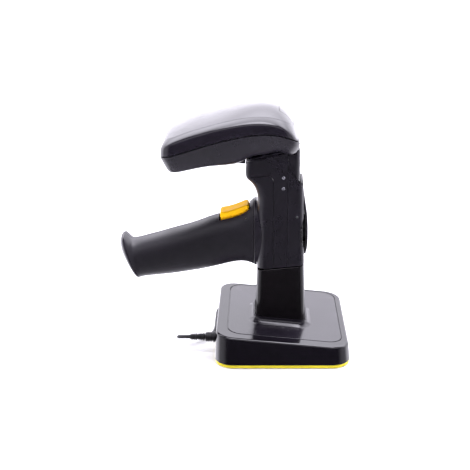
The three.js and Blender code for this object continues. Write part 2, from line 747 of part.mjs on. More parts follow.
function headLower() {
  const outer = loft([...headFloor(0, -head.parting), ...headBottom(0, -head.parting)]);
  const inner = loft([...headFloor(head.wall, 2), ...headBottom(head.wall, 2)]);
  return outer.subtract(inner).subtract(box(-20, 0, -10, 10, 160, 184));
}

function headGasket() {
  const slab = (inset, reach) => loft([
    ...headFloor(inset, -reach),
    lift(headOutline(inset), (x) => partingZ(x) - reach),
    lift(headOutline(inset), (x) => partingZ(x) + reach),
    ...headFloor(inset, reach).reverse(),
  ]);
  return slab(0.7, 0.25).subtract(slab(head.wall + 0.8, 3));
}

function tilted(shape) {
  return shape.rotate([0, antenna.tilt, 0]).translate([antenna.x, 0, antenna.z]);
}

function antennaBoard() {
  return tilted(box(-40, 38, -31, 31, -0.8, 0.8));
}

function antennaPatch() {
  return tilted(box(-28, 28, -28, 28, 1.1, 5.6).subtract(rodZ(2, 0, 10, 9, 0, 12)));
}

function scanEngine() {
  const housing = box(-13, 4, -9, 9, 183, 195);
  const barrel = rodZ(3.6, 194, 199, -4, 3, 18);
  const lamp = rodZ(2.2, 194, 197.5, -4, -5, 14);
  return housing.add(barrel).add(lamp);
}

// ---------------------------------------------------------------- the neck

function headKeepOut() {
  return loft([...headFloor(-gap, 3), ...headBottom(-gap, 3)]);
}

// A tray between body and head: a foot on the body's top, a narrow waist, and a lip that leans in at its top.
function neckCollar() {
  const layer = (x0, x1, low, high, half) => prismXZ([
    [x0, bodyTop(x0) + low], [x1, bodyTop(x1) + low], [x1, bodyTop(x1) + high], [x0, bodyTop(x0) + high],
  ], -half, half);
  const foot = layer(-27.8, 1.8, gap, 1, neck.foot);
  const waist = layer(-24.8, -1.2, 0.8, 1.9, neck.waist);
  const flat = outline(-29.6, 3.6, neck.half, 4.5);
  const inner = outline(-26.4, 0.4, neck.half - 3.2, 1.5);
  const lip = loft([
    lift(flat, (x) => bodyTop(x) + 1.7),
    lift(flat, (x) => bodyTop(x) + 2.4),
    lift(inner, (x) => bodyTop(x) + 4),
  ]);
  const bead = foot.add(waist).add(lip);
  return bead.subtract(headKeepOut()).subtract(box(-20, 0, -10, 10, 160, 190));
}

// A small fairing under the head, in front of the body.
function neckGusset() {
  const wedge = prismXZ([[-56, 166], [-31.2, 165.3], [-31.2, 173], [-56, 169]], -15, 15);
  return wedge.subtract(headKeepOut());
}

// ---------------------------------------------------------------- the grip

// Upper edge (x, z), lower edge (x, z) and half width of each section, from the collar to the flared end.
const gripSections = [
  [-24.6, 130.5, -24.6, 72.4, 17.6],
  [-29.5, 126, -29.5, 74.3, 17],
  [-40, 120.2, -39, 74.8, 16.6],
  [-55, 116.6, -51, 72.2, 16.3],
  [-76, 109.2, -70, 67.8, 16],
  [-94.2, 104, -88, 64.7, 15.6],
  [-108, 99.9, -101, 63, 15.3],
  [-119, 96.9, -110, 62.1, 15.2],
  [-127.5, 94.9, -117, 61.4, 15.3],
  [-131.7, 95.7, -120.4, 60.9, 15.9],
  [-134.4, 98.4, -122.2, 60.5, 16.8],
  [-136.4, 100.1, -123.2, 60.2, 17.6],
];

function gripRing([topX, topZ, lowX, lowZ, wide], inset, push = 0) {
  const top = new THREE.Vector2(topX, topZ);
  const low = new THREE.Vector2(lowX, lowZ);
  const along = top.clone().sub(low).normalize();
  const across = new THREE.Vector2(-along.y, along.x);
  const centre = top.clone().add(low).multiplyScalar(0.5).addScaledVector(across, push);
  const tall = top.distanceTo(low) / 2 - inset;
  const flat = outline(-tall, tall, wide - inset, wide - inset - 0.3, wide - inset - 0.3, gripSides);
  return flat.map((v) => new THREE.Vector3(centre.x + along.x * v.x, v.y, centre.y + along.y * v.x));
}

function gripOuter() {
  return loft(gripSections.map((s) => gripRing(s, 0)));
}

function gripInner() {
  const rings = gripSections.map((s) => gripRing(s, grip.wall));
  const last = gripSections[gripSections.length - 1];
  return loft([gripRing(gripSections[0], grip.wall, -3), ...rings, gripRing(last, grip.wall, 3)]);
}

function triggerOpening() {
  return box(-54.1, -27.8, -trigger.half - 0.5, trigger.half + 0.5, 106, 140);
}

function gripHalf(side) {
  const farBoss = rodY(2.9, 9.9, 17, trigger.pivotX, trigger.pivotZ, 18).intersect(gripOuter());
  const pinBoss = side < 0 ? farBoss.scale([1, -1, 1]) : farBoss;
  const hole = rodY(trigger.pin + gap, -14, 14, trigger.pivotX, trigger.pivotZ, 16);
  const half = side < 0 ? box(-150, 0, -30, -gap / 2, 40, 150) : box(-150, 0, gap / 2, 30, 40, 150);
  const shell = gripOuter().subtract(gripInner()).subtract(triggerOpening());
  return shell.add(pinBoss).subtract(hole).intersect(half);
}

// The collar fills the wedge between the grip's flat end and the body's rounded front.
function gripCollar() {
  const section = [0, 131.3, 0, 71.5, 18.4];
  const ringAt = (x) => gripRing(section, 0).map((v) => new THREE.Vector3(x, v.y, v.z));
  const filler = loft([ringAt(grip.start + gap), ringAt(-13)]);
  const bodyGrown = loft(bodyLevels.map((z) => bodyRing(z, -gap)));
  return filler.subtract(bodyGrown).subtract(box(-30, -10, -5, 5, 90, 120));
}

function gripEndCap() {
  const sections = [
    [-136.7, 100.1, -123.5, 60.2, 17.6],
    [-138.9, 98.6, -125.4, 59.9, 16.8],
    [-140.1, 94.4, -128, 63.2, 13.6],
    [-140.1, 88, -133, 71.2, 7.5],
  ];
  const outer = loft(sections.map((s) => gripRing(s, 0)));
  const hollow = loft([gripRing(sections[0], 2.4, -2), gripRing(sections[1], 3.4, -1.2)]);
  return outer.subtract(hollow).subtract(capScrewShape(gap, 6));
}

// A screw along the grip's axis, with its head sunk in the end cap.
function capScrewShape(grow, proud) {
  const head = rodZ(2.6 + grow, -0.6, 1 + grow + proud, 0, 0, 18);
  const shank = rodZ(1.3 + grow, -14, 0, 0, 0, 14);
  const screw = grow ? head.add(shank) : head.add(shank).subtract(box(-1.8, 1.8, -0.3, 0.3, 0.5, 3));
  return screw.rotate([0, -108, 0]).translate([-137.1, 0, 80.3]);
}

function triggerSolid() {
  const top = new THREE.SplineCurve([
    new THREE.Vector2(-53.2, 119.6), new THREE.Vector2(-52.2, 120.8), new THREE.Vector2(-45.6, 122.2),
    new THREE.Vector2(-38, 124.7), new THREE.Vector2(-31.8, 127.2), new THREE.Vector2(-29.6, 127.3),
    new THREE.Vector2(-28.4, 125.4),
  ]).getPoints(18).map((v) => [v.x, v.y]);
  const edge = [[-28.4, 124.2], [-32, 122.4], [-37.2, 119.8], [-45.5, 117.6], [-53.2, 116.4]];
  const slab = prismXZ([...top, ...edge], -trigger.half, trigger.half);
  const skirt = prismXZ([
    [-52.6, 118], [-45.6, 120], [-38, 122.4], [-31.8, 124.8], [-28.6, 123.4],
    [-28.6, 113.8], [-33, 113.2], [-45, 111.4], [-52.6, 110.4],
  ], -trigger.skirt, trigger.skirt);
  const hollow = prismXZ([
    [-51, 108], [-51, 116], [-44, 118.4], [-34.5, 121], [-34.5, 108],
  ], trigger.wall - trigger.skirt, trigger.skirt - trigger.wall);
  const nub = box(-40.6, -37.4, -2, 2, 109.4, 120);
  const hole = rodY(trigger.pin + gap, -20, 20, trigger.pivotX, trigger.pivotZ, 16);
  return slab.add(skirt).subtract(hollow).add(nub).subtract(hole);
}

function triggerPin() {
  return rodY(trigger.pin, -13.6, 13.6, trigger.pivotX, trigger.pivotZ, 16);
}

function springTube() {
  const pointsPerTurn = 8;
  const count = spring.turns * pointsPerTurn;
  const points = [];
  for (let i = 0; i <= count; i++) {
    const angle = (i / pointsPerTurn) * 2 * Math.PI;
    const [x, y] = [spring.x + spring.radius * Math.cos(angle), spring.radius * Math.sin(angle)];
    points.push(new THREE.Vector3(x, y, spring.low + (i / count) * spring.height));
  }
  const section = new THREE.Shape();
  section.absarc(0, 0, spring.wire, 0, 2 * Math.PI);
  const path = new THREE.CatmullRomCurve3(points);
  const settings = { steps: spring.turns * 9, extrudePath: path, bevelEnabled: false, curveSegments: 2 };
  return solid(new THREE.ExtrudeGeometry(section, settings));
}

function switchBoard() {
  return box(-51, -33, -7, 7, 102.4, 103.8);
}

function triggerSwitch() {
  return box(-42, -36, -3, 3, 104.1, 107.2).add(rodZ(1.2, 107.1, 108.2, -39, 0, 12));
}

function battery() {
  const geometry = new THREE.CylinderGeometry(9.2, 9.2, 65, 24);
  geometry.rotateZ(Math.PI / 2);
  geometry.rotateY(-0.235);
  geometry.translate(-87, 0, 85.4);
  return solid(geometry);
}

// ---------------------------------------------------------------- assembly

add("foot_pad", padSolid(), yellow);
add("base_shell", baseShell(), charcoal);
add("top_panel", topPanel(), charcoal);
add("ballast_plate", ballastPlate(), steel);
add("cradle_board", cradleBoard(), board);
bossPlaces().forEach(([x, y], i) => add(`base_screw_${i + 1}`, baseScrew(x, y), steel));

add("column_shell", columnShell(), gloss);
add("socket_liner", socketLiner(), black);
add("contact_carrier", contactCarrier(), black);
contact.rows.forEach((y, i) => add(`contact_blade_${i + 1}`, contactBlade(y), gold));

add("cable_gland", cableGland(), black);
add("strain_relief", strainRelief(), rubber);
add("power_cord", tube(leadRoute, 40), rubber);
add("cord_tail", tube(tailRoute, 10), rubber);
add("cord_coil", cordCoil(), rubber);
add("usb_plug_body", plugBody(), rubber);
add("usb_plug_shell", plugShell(), steel);

add("body_core", bodyCore(), charcoal);
add("front_cover", frontCover(), charcoal);
add("rear_cover", rearCover(), charcoal);
add("rear_strip", rearStrip(), charcoal);
add("mount_plate", mountPlate(), black);
add("release_ring", releaseRing(), black);
add("side_screw_near", sideScrew(-1), steel);
add("side_screw_far", sideScrew(1), steel);
lamps.heights.forEach((z, i) => add(`status_lens_${i + 1}`, statusLens(z), lens));
add("power_button", powerButton(), rubber);
add("dock_tongue", dockTongue(), black);
contact.rows.forEach((y, i) => add(`contact_pad_${i + 1}`, contactPad(y), gold));
add("main_board", mainBoard(), board);
add("beeper", beeper(), black);

add("head_upper_shell", headUpper(), charcoal);
add("head_lower_shell", headLower(), charcoal);
add("head_gasket", headGasket(), rubber);
add("scan_window", scanWindow(), gloss);
add("scan_engine", scanEngine(), black);
add("antenna_board", antennaBoard(), board);
add("antenna_patch", antennaPatch(), ceramic);
add("neck_collar", neckCollar(), charcoal);
add("neck_gusset", neckGusset(), black);

add("grip_shell_near", gripHalf(-1), charcoal);
add("grip_shell_far", gripHalf(1), charcoal);
add("grip_collar", gripCollar(), charcoal);
add("grip_end_cap", gripEndCap(), charcoal);
add("end_cap_screw", capScrewShape(0, 0), steel);
add("trigger", triggerSolid(), yellow);
add("trigger_pin", triggerPin(), steel);
add("trigger_spring", springTube(), steel);
add("trigger_switch", triggerSwitch(), black);
add("switch_board", switchBoard(), board);
add("battery_cell", battery(), wrap);

export default part;
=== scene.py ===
"""Looks for a pistol-grip scanner standing nose up in its charging cradle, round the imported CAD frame.

Shapes are worked out in millimetres, in the frame's axes, and become metres where a mesh or curve is made.
"""

import json
import math

import bmesh
import bpy
import numpy as np
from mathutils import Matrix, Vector


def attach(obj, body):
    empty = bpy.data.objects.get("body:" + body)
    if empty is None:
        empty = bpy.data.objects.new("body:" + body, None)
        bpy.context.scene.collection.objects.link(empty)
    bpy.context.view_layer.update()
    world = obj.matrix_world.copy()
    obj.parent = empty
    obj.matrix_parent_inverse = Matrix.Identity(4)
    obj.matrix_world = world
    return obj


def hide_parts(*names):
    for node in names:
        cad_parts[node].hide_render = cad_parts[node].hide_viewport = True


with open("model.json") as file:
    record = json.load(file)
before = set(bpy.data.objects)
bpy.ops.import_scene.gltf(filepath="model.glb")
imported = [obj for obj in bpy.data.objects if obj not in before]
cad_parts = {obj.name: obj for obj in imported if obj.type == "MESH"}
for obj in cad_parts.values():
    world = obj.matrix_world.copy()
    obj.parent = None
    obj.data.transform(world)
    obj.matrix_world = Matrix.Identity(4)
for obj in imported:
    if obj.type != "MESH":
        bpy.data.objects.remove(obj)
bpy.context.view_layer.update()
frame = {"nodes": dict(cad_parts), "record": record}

# ---------------------------------------------------------------- driving dimensions, in millimetres

MM = 0.001
GAP = 0.3
QUARTER_TURN = math.pi / 2

BASE = dict(length=115, near=-62, far=70, corner=16, draft=1, lean=3, top=22.4, slope=-0.098, round=2.4)
PAD = dict(height=2.7, inset=0.8)
BOSS = dict(x=44, near=-46, far=54)
PANEL = dict(left=-46.5, right=50.5, near=-48, far=62, corner=12, thick=1.2, groove=0.8)
COLUMN = dict(left=-21.7, right=18.8, half=20, corner=6.5, taper=0.034, wall=2.4, foot=15)
RIM = dict(height=74, slope=0.098, seam=1.3)
FLARE = dict(height=5.5, reach=5, start=0.8, power=2.4)
JACK = dict(y=-28, z=13.8, radius=4.2, end=-66.4)
CORD = dict(radius=1.6, x=0, y=96, outer=22.8, inner=12.4, low=1.95)
PLUG = dict(x=-36, start=106.6, width=13, height=7, body=17, shell=11.5, z=3.6)

BODY = dict(back=18.8, half=20, wall=2.4, lean=0.02, front_corner=8.5, back_corner=5)
SEAM = dict(finger=-7.9, side=4.3, level=151)
STRIP = dict(back=14.4, half=19.2, top=177.6, low=173.6, open=174.2, open_half=11)
BUTTON = dict(height=162, radius=3.5, flange=4.8, proud=0.7)
LENS = dict(x=0.5, radius=1.4, flange=2.4)
LENS_HEIGHTS = (154.4, 145)
LOCK = dict(height=105, radius=19, hub=11.5, front=13.2, back=17)
PLATE = dict(low=82.6, high=151.5, half=15, corner=9)
SIDE_SCREW = dict(x=12.1, z=120.1)

HEAD = dict(left=-99.7, right=13.4, half=43, nose=11, tail=17, wall=2.2, parting=0.55)
WINDOW = dict(left=-3, right=9, half=11)
NECK = dict(left=-29.6, right=3.6, half=21.4, corner=4.5)
GRIP = dict(wall=2.2, start=-24.6, power=2.35)
TRIGGER = dict(x=-30.5, z=116.5, half=9, skirt=7.8, wall=2)

# ---------------------------------------------------------------- small maths


def lerp(a, b, t):
    return a + (b - a) * t


def smoothstep(x, low, high):
    t = min(max((x - low) / (high - low), 0), 1)
    return t * t * (3 - 2 * t)


def spline(points):
    """A smooth curve of one value through a few (place, value) points, held level past its ends."""
    places = np.array([p for p, _ in points], float)
    values = np.array([v for _, v in points], float)
    n = len(points)
    step = np.diff(places)
    slope = np.diff(values) / step
    system = np.eye(n)
    right = np.zeros(n)
    for i in range(1, n - 1):
        system[i, i - 1:i + 2] = step[i - 1], 2 * (step[i - 1] + step[i]), step[i]
        right[i] = 6 * (slope[i] - slope[i - 1])
    bend = np.linalg.solve(system, right)

    def value(x):
        x = min(max(x, places[0]), places[-1])
        i = min(max(int(np.searchsorted(places, x)) - 1, 0), n - 2)
        h, a, b = step[i], places[i + 1] - x, x - places[i]
        cubic = (bend[i] * a ** 3 + bend[i + 1] * b ** 3) / (6 * h)
        left = (values[i] / h - bend[i] * h / 6) * a
        return float(cubic + left + (values[i + 1] / h - bend[i + 1] * h / 6) * b)

    return value


def through(points, per_step):
    """A smooth route through points: a Catmull-Rom curve whose steps follow the points' spacing."""
    p = [Vector(v) for v in points]
    p = [2 * p[0] - p[1], *p, 2 * p[-1] - p[-2]]
    route = []
    for a, b, c, d in zip(p, p[1:], p[2:], p[3:]):
        t1 = (b - a).length ** 0.5
        t2 = t1 + (c - b).length ** 0.5
        t3 = t2 + (d - c).length ** 0.5
        for i in range(per_step):
            t = lerp(t1, t2, i / per_step)
            ab, bc, cd = a.lerp(b, t / t1), b.lerp(c, (t - t1) / (t2 - t1)), c.lerp(d, (t - t2) / (t3 - t2))
            abc, bcd = ab.lerp(bc, t / t2), bc.lerp(cd, (t - t1) / (t3 - t1))
            route.append(abc.lerp(bcd, (t - t1) / (t2 - t1)))
    return [*route, p[-2]]


def rounded(left, right, half, left_corner, right_corner=None, arc=12, along=12, across=12, middle=0):
    """A rectangle with round corners, counter-clockwise from the low end of its right-hand side."""
    right_corner = left_corner if right_corner is None else right_corner
    corners = [
        (right - right_corner, half - right_corner, right_corner, 0, along),
        (left + left_corner, half - left_corner, left_corner, 1, across),
        (left + left_corner, left_corner - half, left_corner, 2, along),
        (right - right_corner, right_corner - half, right_corner, 3, across),
    ]
    points = []
    for k, (x, y, radius, quarter, flat) in enumerate(corners):
        for i in range(arc + 1):
            angle = (quarter + i / arc) * QUARTER_TURN
            points.append((x + radius * math.cos(angle), y + radius * math.sin(angle) + middle))
        nx, ny, next_radius, next_quarter, _ = corners[(k + 1) % 4]
        angle = next_quarter * QUARTER_TURN
        start = points[-1]
        end = (nx + next_radius * math.cos(angle), ny + next_radius * math.sin(angle) + middle)
        shares = [i / flat for i in range(1, flat)]
        points += [(lerp(start[0], end[0], t), lerp(start[1], end[1], t)) for t in shares]
    return points


def lift(points, rule):
    """Lifts a flat outline to the height that rule(x, y) gives."""
    return [(x, y, rule(x, y)) for x, y in points]


def over(points, surface, rise=0):
    """Lifts a flat outline to a surface's height at each x, and a rise above it."""
    return [(x, y, surface(x) + rise) for x, y in points]


def level(points, z):
    """Puts a flat outline at one height."""
    return [(x, y, z) for x, y in points]


def steady(number):
    """A function that gives the same number anywhere."""
    return lambda place: number


def full_turn(sides):
    return [2 * math.pi * i / sides for i in range(sides)]


def quarter_round(radius, steps=6):
    """(how far in, how far below the top) pairs round a convex edge, from its side to its top."""
    turns = [QUARTER_TURN * i / steps for i in range(steps + 1)]
    return [(radius * (1 - math.cos(a)), radius * (1 - math.sin(a))) for a in turns]


# ---------------------------------------------------------------- mesh helpers


def mesh_object(name, bm):
    bmesh.ops.recalc_face_normals(bm, faces=bm.faces)
    mesh = bpy.data.meshes.new(name)
    bm.to_mesh(mesh)
    bm.free()
    obj = bpy.data.objects.new(name, mesh)
    bpy.context.scene.collection.objects.link(obj)
    return obj


def add_ring(bm, ring):
    return [bm.verts.new((x * MM, y * MM, z * MM)) for x, y, z in ring]


def bridge(bm, a, b, closed=True):
    n = len(a)
    for i in range(n if closed else n - 1):
        j = (i + 1) % n
        bm.faces.new((a[i], a[j], b[j], b[i]))


def loft(name, rings, wrap=False):
    """A skin through rings of equally many points: closed by flat ends, or round into its own start."""
    bm = bmesh.new()
    rows = [add_ring(bm, ring) for ring in rings]
    for a, b in zip(rows, rows[1:]):
        bridge(bm, a, b)
    if wrap:
        bridge(bm, rows[-1], rows[0])
    else:
        bm.faces.new(rows[0][::-1])
        bm.faces.new(rows[-1])
    return mesh_object(name, bm)


def grid(name, rows, closed=False):
    """An open skin through rows of points."""
    bm = bmesh.new()
    rows = [add_ring(bm, row) for row in rows]
    for a, b in zip(rows, rows[1:]):
        bridge(bm, a, b, closed)
    return mesh_object(name, bm)


def joined(name, objects, merge=0.02):
    """Several meshes as one, with the points where they meet welded."""
    bm = bmesh.new()
    for obj in objects:
        bm.from_mesh(obj.data)
        bpy.data.objects.remove(obj)
    bmesh.ops.remove_doubles(bm, verts=bm.verts, dist=merge * MM)
    return mesh_object(name, bm)


def apply_modifiers(obj):
    graph = bpy.context.evaluated_depsgraph_get()
    mesh = bpy.data.meshes.new_from_object(obj.evaluated_get(graph))
    obj.modifiers.clear()
    obj.data = mesh
    return obj


def combine(obj, cutter, operation):
    """Cuts, joins or intersects obj with cutter, which is used up."""
    modifier = obj.modifiers.new("combine", "BOOLEAN")
    modifier.operation = operation
    modifier.solver = "EXACT"
    modifier.object = cutter
    bpy.context.view_layer.update()
    apply_modifiers(obj)
    bpy.data.objects.remove(cutter)
    return obj


def cut(obj, *cutters):
    for cutter in cutters:
        combine(obj, cutter, "DIFFERENCE")
    return obj


def solidify(obj, wall):
    """Gives an open skin a wall on its inner side."""
    modifier = obj.modifiers.new("wall", "SOLIDIFY")
    modifier.thickness = wall * MM
    modifier.offset = -1
    modifier.use_even_offset = True
    return apply_modifiers(obj)


def soften(obj, width, segments=2, angle=35, clamp=True):
    """Rounds the sharp edges of a mesh."""
    modifier = obj.modifiers.new("soften", "BEVEL")
    modifier.width = width * MM
    modifier.segments = segments
    modifier.limit_method = "ANGLE"
    modifier.angle_limit = math.radians(angle)
    modifier.use_clamp_overlap = clamp
    return apply_modifiers(obj)


def shade(obj, angle=32, weighted=True):
    """Smooth shading that stops at the sharp edges and keeps flat faces flat."""
    for polygon in obj.data.polygons:
        polygon.use_smooth = True
    obj.data.set_sharp_from_angle(angle=math.radians(angle))
    if weighted:
        modifier = obj.modifiers.new("weighted", "WEIGHTED_NORMAL")
        modifier.keep_sharp = True
        apply_modifiers(obj)
    return obj


def rod(radius, start, end, sides=48):
    """A closed round bar between two points, as a cutter or a blank."""
    start, end = Vector(start), Vector(end)
    along = (end - start).normalized()
    side = along.orthogonal().normalized()
    other = along.cross(side)
    turns = full_turn(sides)
    rings = [[p + radius * (math.cos(a) * side + math.sin(a) * other) for a in turns] for p in (start, end)]
    return loft("rod", rings)


def prism_xz(points, y0, y1):
    """A prism whose outline lies in the XZ plane."""
    return loft("prism", [[(x, y, z) for x, z in points] for y in (y0, y1)])


def block(x0, x1, y0, y1, z0, z1):
    return prism_xz([(x0, z0), (x1, z0), (x1, z1), (x0, z1)], y0, y1)


def turned(profile, y, z, sides=72):
    """A body turned about an axis along X, from (x, radius) pairs."""
    turns = full_turn(sides)
    rings = [[(x, y + r * math.cos(a), z + r * math.sin(a)) for a in turns] for x, r in profile]
    return loft("turned", rings)


def turned_across(profile, x, z, sides):
    """A body turned about an axis along Y, from (y, radius) pairs."""
    turns = full_turn(sides)
    rings = [[(x + r * math.cos(a), y, z + r * math.sin(a)) for a in turns] for y, r in profile]
    return loft("turned_across", rings)


BODY_OF = {node: body for body, nodes in frame["record"]["behaviour"]["bodies"].items() for node in nodes}


def stands_for(obj, node, material, *others, slot=None):
    """Gives a piece its finish and its body, and hides the CAD nodes that it stands for."""
    obj.name = node + "_skin"
    obj.data.name = obj.name
    obj.data.materials.clear()
    obj.data.materials.append(MATERIALS[material])
    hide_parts(node, *others)
    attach(obj, BODY_OF[node])
    return obj


# ---------------------------------------------------------------- materials


class Nodes:
    """Short ways to add nodes to a tree."""

    def __init__(self, tree):
        self.tree = tree

    def add(self, kind, **settings):
        node = self.tree.nodes.new(kind)
        for key, value in settings.items():
            setattr(node, key, value)
        return node

    def link(self, source, target):
        self.tree.links.new(source, target)

    def spread(self, value, low, high, start=0.3, end=0.7, **settings):
        """Maps a value from start..end to low..high."""
        node = self.add("ShaderNodeMapRange", **settings)
        for key, number in (("From Min", start), ("From Max", end), ("To Min", low), ("To Max", high)):
            node.inputs[key].default_value = number
        self.link(value, node.inputs["Value"])
        return node.outputs["Result"]

    def maths(self, operation, a, b):
        node = self.add("ShaderNodeMath", operation=operation)
        for socket, value in zip(node.inputs, (a, b)):
            if isinstance(value, (int, float)):
                socket.default_value = value
            else:
                self.link(value, socket)
        return node.outputs[0]


class Look(Nodes):
    """One material, with short ways to make its patterns."""

    def __init__(self, name):
        self.material = bpy.data.materials.new(name)
        self.material.use_nodes = True
        super().__init__(self.material.node_tree)
        self.shader = self.tree.nodes["Principled BSDF"]
        self.place = self.add("ShaderNodeTexCoord").outputs["Object"]

    def stretched(self, scale):
        mapping = self.add("ShaderNodeMapping")
        mapping.inputs["Scale"].default_value = scale
        self.link(self.place, mapping.inputs["Vector"])
        return mapping.outputs["Vector"]

    def noise(self, size, detail=2, roughness=0.5, place=None):
        """Noise whose blobs are about size millimetres across."""
        node = self.add("ShaderNodeTexNoise")
        node.inputs["Scale"].default_value = 1 / (size * MM)
        node.inputs["Detail"].default_value = detail
        node.inputs["Roughness"].default_value = roughness
        self.link(place or self.place, node.inputs["Vector"])
        return node.outputs["Fac"]

    def cells(self, size, feature="F1"):
        node = self.add("ShaderNodeTexVoronoi", feature=feature)
        node.inputs["Scale"].default_value = 1 / (size * MM)
        self.link(self.place, node.inputs["Vector"])
        return node.outputs["Distance"]

    def mix(self, factor, a, b):
        node = self.add("ShaderNodeMix", data_type="RGBA")
        self.link(factor, node.inputs["Factor"])
        for socket, colour in ((node.inputs[6], a), (node.inputs[7], b)):
            if isinstance(colour, tuple):
                socket.default_value = (*colour, 1)
            else:
                self.link(colour, socket)
        return node.outputs[2]

    def edges(self, start=0.515, end=0.6):
        """0 on the flats, rising to 1 on the convex edges, broken up by noise."""
        point = self.add("ShaderNodeNewGeometry").outputs["Pointiness"]
        wear = self.spread(point, 0, 1, start, end)
        return self.maths("MULTIPLY", wear, self.spread(self.noise(2.5, 4), 0.2, 1))

    def bump(self, height, depth, after=None, strength=1.0):
        node = self.add("ShaderNodeBump")
        node.inputs["Strength"].default_value = strength
        node.inputs["Distance"].default_value = depth * MM
        self.link(height, node.inputs["Height"])
        if after:
            self.link(after, node.inputs["Normal"])
        return node.outputs["Normal"]

    def finish(self, colour=None, roughness=None, normal=None, **constants):
        for name, source in (("Base Color", colour), ("Roughness", roughness), ("Normal", normal)):
            if source:
                self.link(source, self.shader.inputs[name])
        for name, value in constants.items():
            self.shader.inputs[name.replace("_", " ")].default_value = value
        return self.material


def scaled(colour, factor):
    return tuple(channel * factor for channel in colour)


def moulded_plastic(name, colour, rough, grain=0.35, depth=0.006, worn=1.9, swirl=0.14, **constants):
    """Moulded plastic: a slow drift of tone, fine grain, patchy gloss, and paler rubbed edges."""
    look = Look(name)
    drift = look.spread(look.noise(26, 3), 0, 1)
    tone = look.mix(drift, scaled(colour, 1 - swirl), scaled(colour, 1 + swirl))
    speck = look.mix(look.spread(look.noise(0.5, 1), 0, 0.16, 0.45, 0.75), tone, scaled(colour, 1.6))
    colour_out = look.mix(look.edges(), speck, scaled(colour, worn))
    broad = look.spread(look.noise(14, 4), -0.05, 0.06)
    fine = look.spread(look.noise(1.1, 2), -0.03, 0.03)
    roughness = look.maths("ADD", look.maths("ADD", broad, fine), rough)
    waves = look.bump(look.noise(18, 1), 0.05, strength=0.5)
    grains = look.bump(look.noise(grain, 2, 0.6), depth, after=waves)
    return look.finish(colour_out, roughness, grains, **constants)


def rubber(name, colour, rough):
    """Soft rubber: dusty in patches, with a dull pebbled surface."""
    look = Look(name)
    dust = look.spread(look.noise(5, 5, 0.65), 0, 0.35, 0.5, 0.8)
    tone = look.mix(dust, colour, scaled(colour, 2.6))
    colour_out = look.mix(look.edges(0.52, 0.62), tone, scaled(colour, 1.8))
    roughness = look.spread(look.noise(3, 3), rough - 0.08, rough + 0.08)
    return look.finish(colour_out, roughness, look.bump(look.cells(0.45), 0.01))


def metal(name, colour, rough, brushed=(1, 1, 1)):
    """Metal with fine brush lines, small stains and scratches."""
    look = Look(name)
    lines = look.noise(0.6, 4, 0.7, place=look.stretched(brushed))
    tone = look.mix(look.spread(look.noise(2.2, 3), 0, 1), scaled(colour, 0.82), scaled(colour, 1.1))
    roughness = look.spread(lines, rough - 0.07, rough + 0.13)
    return look.finish(tone, roughness, look.bump(lines, 0.006), Metallic=1.0)


def circuit_board():
    """Solder mask over copper tracks and pads."""
    look = Look("circuit_board")
    track = look.spread(look.cells(3.2, "DISTANCE_TO_EDGE"), 1, 0, 0.03, 0.07)
    pad = look.spread(look.cells(2.1), 1, 0, 0.08, 0.14)
    mask = look.mix(look.spread(look.noise(9, 2), 0, 1), (0.012, 0.09, 0.035), (0.02, 0.13, 0.05))
    tracked = look.mix(track, mask, (0.05, 0.26, 0.09))
    colour = look.mix(pad, tracked, (0.62, 0.56, 0.42))
    roughness = look.spread(look.noise(1.2, 3), 0.28, 0.45)
    return look.finish(colour, roughness, look.bump(look.maths("MAXIMUM", track, pad), 0.04))


def antenna_ceramic():
    """A fired ceramic patch with a dull silver coat on it."""
    look = Look("antenna_ceramic")
    colour = look.mix(look.spread(look.noise(4, 5, 0.7), 0, 1), (0.62, 0.57, 0.47), (0.76, 0.72, 0.63))
    roughness = look.spread(look.noise(1.5, 3), 0.4, 0.62)
    return look.finish(colour, roughness, look.bump(look.noise(0.3, 3), 0.015))


def status_lens():
    """A grey diffusing lens, paler at its rim than in its middle."""
    look = Look("lens")
    colour = look.mix(look.edges(0.5, 0.54), (0.05, 0.05, 0.06), (0.42, 0.41, 0.46))
    roughness = look.spread(look.noise(0.8, 2), 0.1, 0.22)
    return look.finish(colour, roughness, look.bump(look.cells(0.5), 0.01), Coat_Weight=0.4)


def battery_wrap():
    """Shrink film with small wrinkles."""
    look = Look("battery_wrap")
    colour = look.mix(look.spread(look.noise(12, 2), 0, 1), (0.02, 0.07, 0.3), (0.035, 0.11, 0.42))
    roughness = look.spread(look.noise(2, 4), 0.22, 0.4)
    wrinkle = look.noise(1.2, 4, 0.7, place=look.stretched((0.2, 1, 1)))
    return look.finish(colour, roughness, look.bump(wrinkle, 0.08))


CHARCOAL = (0.012, 0.010, 0.0152)

